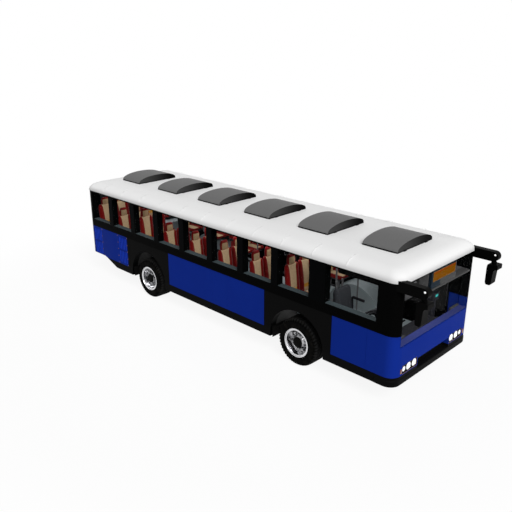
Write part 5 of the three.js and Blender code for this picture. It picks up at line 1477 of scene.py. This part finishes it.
SEAT_CLOTHS = ["red_moquette", "beige_moquette", "gold_braid", "seat_shell"]
SEAT_COVERS = {"back": SEAT_CLOTHS, "cushion": SEAT_CLOTHS, "headrest": ["red_moquette", "headrest_vinyl"]}
DRIVER_CLOTHS = ["driver_cloth", "driver_cloth", "driver_cloth", "seat_shell"]


def upholstery(name, places, width=1.0, height=1.0, covers=SEAT_COVERS):
    """Cushions, backs and headrests at places of (x, y, cushion z), each kind one padded piece."""
    for kind, cloths in covers.items():
        bm = bmesh.new()
        for place in places:
            scale = Matrix.Diagonal((1, width, height, 1))
            stamp(bm, seat_forms()[kind], Matrix.Translation(place) @ scale)
        obj = make_piece(f"{name}_{kind}s", bm, cloths, "body", sharp=60)


# ---------- passenger seats ----------

SEAT_OUTER = 1.098  # outer side of the window seat, from the middle of the bus
PLACE_SPACING = 0.365
PLAIN, RAISED = 1.065, 1.2253  # cushion heights on the floor and over a wheel housing
LEG_Y = 0.44
FRAME_INNER = 0.378  # aisle side of a pair's frame
ROWS = {  # behind the front face, with the cushion's height
    "right": [(2415 + 917 * i, RAISED if i in (0, 5) else PLAIN) for i in range(7)],
    "left": [(2720, RAISED), (5528, PLAIN), (6464, RAISED), (7400, RAISED)],
}


def arm_section(half, crown, thick):
    """A padded arm rest's section: flat above and below, with crowned sides."""
    return [(-half, -thick), (half, -thick), (crown, 0.0), (half, thick), (-half, thick), (-crown, 0.0)]


def seat_frame(name, side, x, z):
    """Shells' brackets, cross beams, the pedestal leg, arm rest and grab handle of one pair."""
    sign = SIGNS[side]
    bm = bmesh.new()
    under = z - CUSHION_THICK
    beam_end = 0.49 if z > PLAIN else 1.1
    y0, y1 = sorted((sign * (FRAME_INNER + 0.01), sign * beam_end))
    for ahead in (0.04, 0.28):
        block(bm, (x + ahead, y0, under - 0.03), (x + ahead + 0.036, y1, under + 0.004), 0.004)
    leg = [(-0.016, -0.014), (0.016, -0.014), (0.016, 0.014), (-0.016, 0.014)]
    for top, foot in ((0.095, 0.03), (0.295, 0.32)):
        ends = [(x + foot, sign * LEG_Y, FLOOR + 0.02), (x + top, sign * LEG_Y, under - 0.02)]
        sweep(bm, ends, leg, (0, 1, 0))
    y0, y1 = sorted((sign * (LEG_Y - 0.018), sign * (LEG_Y + 0.018)))
    block(bm, (x, y0, FLOOR + 0.001), (x + 0.35, y1, FLOOR + 0.022), 0.004)
    block(bm, (x + 0.1, y0 + 0.004, under - 0.16), (x + 0.27, y1 - 0.004, under - 0.13), 0.003)
    y = sign * (FRAME_INNER - 0.012)
    arm = [(-0.05, 0.06), (-0.055, 0.2), (-0.03, 0.235), (0.02, 0.24), (0.22, 0.235), (0.25, 0.225)]
    path = [(x + ahead, y, z + up) for ahead, up in arm]
    sweep(bm, path, arm_section(0.02, 0.024, 0.011), (0, 1, 0), material=1)
    top = z + BACK_HEIGHT + 0.01
    y0, y1 = sign * (FRAME_INNER + 0.03), sign * (FRAME_INNER + 0.11)
    handle = [
        (x - 0.125, y0, top - 0.08), (x - 0.13, y0, top - 0.01), (x - 0.13, (y0 + y1) / 2, top + 0.012),
        (x - 0.13, y1, top - 0.01), (x - 0.125, y1, top - 0.08),
    ]
    sweep(bm, handle, circle(0.009), (1, 0, 0), material=1)
    return make_piece(name + "_frame", bm, ["powder_coat", "cab_abs"], "body")


BENCH_HALF = 0.86


def rear_bench():
    """Five places in one row on a slatted plinth."""
    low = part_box("rear_bench")[0]
    spacing = 2 * SEAT_OUTER / 5
    x, z = low.x + BACK_LEAN + TOP_THICK + 0.014, 1.25
    places = [(x, -SEAT_OUTER + spacing * (i + 0.5), z) for i in range(5)]
    upholstery("rear_bench", places, width=(spacing - 0.012) / SEAT_WIDTH, height=0.9)
    bm = bmesh.new()
    top = z - CUSHION_THICK + 0.004
    block(bm, (low.x + 0.1, -BENCH_HALF, 1.132), (x + 0.29, BENCH_HALF, top), 0.012, 0, 3)
    for i in range(1, 10):
        y = -BENCH_HALF + 2 * BENCH_HALF * i / 10
        block(bm, (x + 0.288, y - 0.012, 1.145), (x + 0.294, y + 0.012, z - CUSHION_THICK - 0.01), 0.002)
    obj = make_piece("rear_bench_plinth", bm, ["cab_abs"], "body")
    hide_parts("rear_bench")


class BUS_OT_passenger_seats(bpy.types.Operator):
    """Padded seats on their frames and the rear bench"""

    bl_idname = "bus.passenger_seats"
    bl_label = "Passenger seats"

    def execute(self, context):
        for side, rows in ROWS.items():
            window = SEAT_OUTER - SEAT_WIDTH / 2
            for number, (station, z) in enumerate(rows, 1):
                name, x = f"{side}_row_{number}", back(station)
                upholstery(name, [(x, SIGNS[side] * (window - i * PLACE_SPACING), z) for i in (0, 1)])
                obj = seat_frame(name, side, x, z)
                if number == 1:
                    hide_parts(side + "_seats")
        rear_bench()
        return {"FINISHED"}


# ---------- cab ----------

BELLOWS = 6  # folds of the driver's seat's bellows


def driver_seat():
    """Padding, bellows, arm rests and headrest bars of the driver's seat."""
    low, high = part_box("driver_seat")
    x, y, z = low.x + 0.09, (low.y + high.y) / 2, FLOOR + 0.39
    covers = {"back": DRIVER_CLOTHS, "cushion": DRIVER_CLOTHS}
    upholstery("driver_seat", [(x, y, z)], width=0.48 / SEAT_WIDTH, height=0.86, covers=covers)
    bm = bmesh.new()
    step = (z - 0.11 - FLOOR - 0.05) / BELLOWS
    for i in range(BELLOWS):
        half = 0.11 + (0.012 if i % 2 else 0.0)
        rear, front = x + 0.12 - half * 0.1, x + 0.33 + half * 0.1
        level = FLOOR + 0.05 + i * step
        block(bm, (rear, y - half, level), (front, y + half, level + step), 0.008)
    block(bm, (x + 0.06, y - 0.18, FLOOR + 0.001), (x + 0.4, y + 0.18, FLOOR + 0.03), 0.006)
    block(bm, (x, y - 0.2, z - 0.13), (x + 0.36, y + 0.2, z - 0.085), 0.012)
    for sign in (-1, 1):
        arm = [
            (x - 0.03, y + sign * 0.26, z - 0.06), (x - 0.05, y + sign * 0.262, z + 0.24),
            (x - 0.02, y + sign * 0.262, z + 0.27), (x + 0.22, y + sign * 0.262, z + 0.262),
        ]
        sweep(bm, arm, arm_section(0.02, 0.025, 0.016), (0, 1, 0))
    for offset in (-0.09, 0.09):
        bar = [(x - 0.155, y + offset, z + 0.3), (x - 0.16, y + offset, z + 0.64)]
        sweep(bm, bar, circle(0.018, 10), (0, 1, 0), material=1)
    obj = make_piece("driver_seat_base", bm, ["cab_abs", "powder_coat"], "body")
    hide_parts("driver_seat")


WHEEL_RADIUS, GRIP_RADIUS = 0.22, 0.018
WHEEL_TILT = math.radians(30)


def wheel_grip():
    """A thicker moulded grip with raised bands round the steering wheel's rim, and a pad over its hub."""
    axis = Vector((-math.sin(WHEEL_TILT), 0, math.cos(WHEEL_TILT)))
    turn = axis.to_track_quat("Z", "Y").to_matrix().to_4x4()
    place = Matrix.Translation((FRONT - 0.86, -0.6, FLOOR + 0.67)) @ turn
    bm = bmesh.new()
    lathe(bm, [(WHEEL_RADIUS + a, b) for a, b in circle(GRIP_RADIUS, 12)], place, 64, closed=True)
    lathe(bm, [(0.06, 0.004), (0.064, 0.014), (0.058, 0.026), (0.03, 0.034), (0, 0.035)], place, 32)
    for band in ring_places(place, 24, WHEEL_RADIUS, 0):
        across_rim = band @ Matrix.Rotation(math.pi / 2, 4, "X")
        lathe(bm, [(0.0196, -0.002), (0.0205, 0.0), (0.0196, 0.002)], across_rim, 12)
    make_piece("steering_wheel_grip", bm, ["cab_abs"], "steering_wheel")


def box_piece(name, finishes, *blocks):
    """One fixed piece of the cab made of blocks, each given by its corners, bevel and finish's number."""
    bm = bmesh.new()
    for each in blocks:
        block(bm, *each)
    return make_piece(name, bm, finishes, "body")


HEADER_X, HEADER_LOW, HEADER_HIGH = 4.235, 1.842, 2.15  # back, foot and top of the header shelf's boxes
DISPLAY_LOW, DISPLAY_HIGH = Vector((HEADER_X, -0.27, HEADER_LOW)), Vector((4.296, 0.56, HEADER_HIGH))


def display_unit():
    """The destination display close behind the windscreen, with a bezel round its panel of dots."""
    low, high = DISPLAY_LOW, DISPLAY_HIGH
    bm = bmesh.new()
    block(bm, low, high, 0.006)
    obj = make_piece("destination_display_unit", bm, ["painted_display_case"], "body")
    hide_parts("destination_display")
    bm = bmesh.new()
    dots = rounded(low.y + 0.045, 1.968, high.y - 0.052, 2.126, 0.004, 2)
    sheet_of(bm, dots, upright(high.x, 0, 0, "+x"), 0.004)
    make_piece("destination_display_dots", bm, ["dot_display"], "body")
    bm = bmesh.new()
    path = [(high.x + 0.003, y, z) for y, z in rounded(low.y + 0.04, 1.963, high.y - 0.047, 2.131, 0.006, 2)]
    section = [(-0.004, -0.004), (0.004, -0.004), (0.003, 0.003), (-0.003, 0.004)]
    sweep(bm, path, section, (1, 0, 0), closed=True)
    make_piece("destination_display_bezel", bm, ["brass_chrome"], "body")


def header_fittings():
    """The control box beside the display, and the shelf's board with the plate before the display."""
    box_piece(
        "header_control_box", ["painted_control_box"],
        ((HEADER_X, -0.66, HEADER_LOW), (4.29, -0.36, HEADER_HIGH), 0.008),
        ((4.288, -0.63, 1.88), (4.293, -0.39, 2.11), 0.002),
    )
    case = DISPLAY_HIGH
    box_piece(
        "header_shelf_board", ["laminated_board"],
        ((4.15, -0.68, 1.808), (4.306, 1.09, 1.838), 0.004),
        ((case.x - 0.001, 0.02, 1.836), (case.x + 0.004, case.y - 0.005, 1.948), 0.001),
    )


DIALS = ((-0.13, 0.05), (0.0, 0.05), (0.11, 0.035))  # across the panel, radius


def instrument_panel():
    """A hooded panel with three dials and a row of switches."""
    bm = bmesh.new()
    x, y, z = FRONT - 0.4, -0.6, SCREEN - 0.02
    shares = [i / 10 for i in range(11)]
    hood = [(x - 0.09, y - 0.24 + 0.48 * i, z + 0.05 + 0.05 * math.sin(math.pi * i)) for i in shares]
    sweep(bm, hood, [(-0.06, -0.006), (0.06, -0.006), (0.06, 0.006), (-0.06, 0.006)], (0, 0, 1))
    block(bm, (x - 0.13, y - 0.22, z - 0.06), (x - 0.05, y + 0.22, z + 0.05), 0.012)
    for offset, radius in DIALS:
        glass = radius - 0.008
        dial = [(radius, -0.002), (radius, 0.004), (radius - 0.006, 0.006), (glass, 0.002), (0, 0.002)]
        lathe(bm, dial, upright(x - 0.13, y + offset, z, "-x"), 28, 1)
    for i in range(9):
        start = i * 0.03 - 0.36
        block(bm, (x - 0.16, start, z - 0.035), (x - 0.135, start + 0.022, z - 0.01), 0.003, 1)
    make_piece("instrument_panel", bm, ["cab_abs", "mirror_abs"], "body")


def dash_fittings():
    """Ticket machine with its small lamp, the driver's blind and the dashboard's end mouldings."""
    instrument_panel()
    box_piece(
        "ticket_machine", ["cab_abs", "turquoise_polycarbonate"],
        ((3.9, 0.36, FLOOR + 0.3), (4.02, 0.5, 1.36), 0.012),
        ((3.86, 0.35, 1.34), (4.04, 0.56, 1.5), 0.014),
        ((4.036, 0.42, 1.42), (4.044, 0.5, 1.46), 0.002, 1),
    )
    box_piece(
        "driver_blind", ["extruded_epdm"],
        ((FRONT - 0.47, -1.1, 1.95), (FRONT - 0.36, -0.42, 2.15), 0.02, 0, 3),
        ((FRONT - 1.3, -1.108, 2.02), (FRONT - 0.47, -1.08, 2.15), 0.01),
    )
    box_piece("dashboard_cheeks", ["grey_gel_coat"], *(
        ((FRONT - 0.2, y0, SCREEN - 0.09), (FRONT - 0.152, y1, SCREEN + 0.02), 0.01)
        for y0, y1 in ((-1.095, -0.72), (0.8, 1.095))
    ))


class BUS_OT_cab(bpy.types.Operator):
    """Driver's seat, steering wheel grip, destination display, header and dash fittings"""

    bl_idname = "bus.cab"
    bl_label = "Cab"

    def execute(self, context):
        driver_seat()
        wheel_grip()
        display_unit()
        header_fittings()
        dash_fittings()
        return {"FINISHED"}


# ---------- small fittings ----------

VENT_SCREW_HEIGHTS = (0.58, 0.75, 0.925, 1.09, 1.262)


def vent_screws(side, sign):
    """Dome-head screws round the side vents."""
    bm = bmesh.new()
    head = [(0.009, -0.001), (0.009, 0.001), (0.006, 0.004), (0, 0.005)]
    for start, end in VENT_COLUMNS:
        for x in (back(start - 22), back(end + 16)):
            for z in VENT_SCREW_HEIGHTS:
                lathe(bm, head, upright(x, sign * (SIDE + 0.0005), z, "+y" if sign > 0 else "-y"), 12)
    make_piece("vent_screws_" + side, bm, ["brass_chrome"], "body")


def lid_catches():
    """Two quarter-turn catches on the engine lid and a pull handle."""
    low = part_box("engine_lid")[0]
    bm = bmesh.new()
    for y in (-0.8, 0.8):
        catch = [(0.026, -0.004), (0.026, 0.003), (0.02, 0.006), (0, 0.006)]
        lathe(bm, catch, upright(low.x, y, low.z + 0.045, "-x"), 24)
        block(bm, (low.x - 0.009, y - 0.003, low.z + 0.03), (low.x - 0.004, y + 0.003, low.z + 0.06), 0.001)
    handle = [(0.002, -0.09), (-0.006, -0.085), (-0.009, -0.07)]
    handle += [(out, -y) for out, y in reversed(handle)]
    sweep(bm, [(low.x + out, y, low.z + 0.035) for out, y in handle], circle(0.007), (0, 0, 1))
    make_piece("engine_lid_catches", bm, ["zinc_plate"], "engine_lid")


class BUS_OT_small_fittings(bpy.types.Operator):
    """Vent screws and the engine lid's catches"""

    bl_idname = "bus.small_fittings"
    bl_label = "Small fittings"

    def execute(self, context):
        for side, sign in SIGNS.items():
            vent_screws(side, sign)
        lid_catches()
        return {"FINISHED"}


class BUS_PT_panel(bpy.types.Panel):
    """Buttons for each group of pieces"""

    bl_label = "City Bus"
    bl_space_type = "VIEW_3D"
    bl_region_type = "UI"
    bl_category = "City Bus"

    def draw(self, context):
        for operator in OPERATORS:
            self.layout.operator(operator.bl_idname)
        for name in SETTINGS:
            settings = getattr(context.scene, name)
            for key in settings.bl_rna.properties.keys():
                if key not in ("rna_type", "name"):
                    self.layout.prop(settings, key)


OPERATORS = (
    BUS_OT_stage, BUS_OT_bodywork, BUS_OT_wheels, BUS_OT_lamps, BUS_OT_doors, BUS_OT_roof_fittings,
    BUS_OT_mirrors, BUS_OT_passenger_seats, BUS_OT_cab, BUS_OT_small_fittings,
)


def register():
    for settings in SETTINGS.values():
        bpy.utils.register_class(settings)
    for name, settings in SETTINGS.items():
        setattr(bpy.types.Scene, name, PointerProperty(type=settings))
    for made in (*OPERATORS, BUS_PT_panel):
        bpy.utils.register_class(made)


def unregister():
    for made in (BUS_PT_panel, *reversed(OPERATORS)):
        bpy.utils.unregister_class(made)
    for name in SETTINGS:
        delattr(bpy.types.Scene, name)
    for settings in SETTINGS.values():
        bpy.utils.unregister_class(settings)


def main():
    register()
    for operator in OPERATORS:
        group, name = operator.bl_idname.split(".")
        getattr(getattr(bpy.ops, group), name)()


if __name__ == "__main__":
    main()
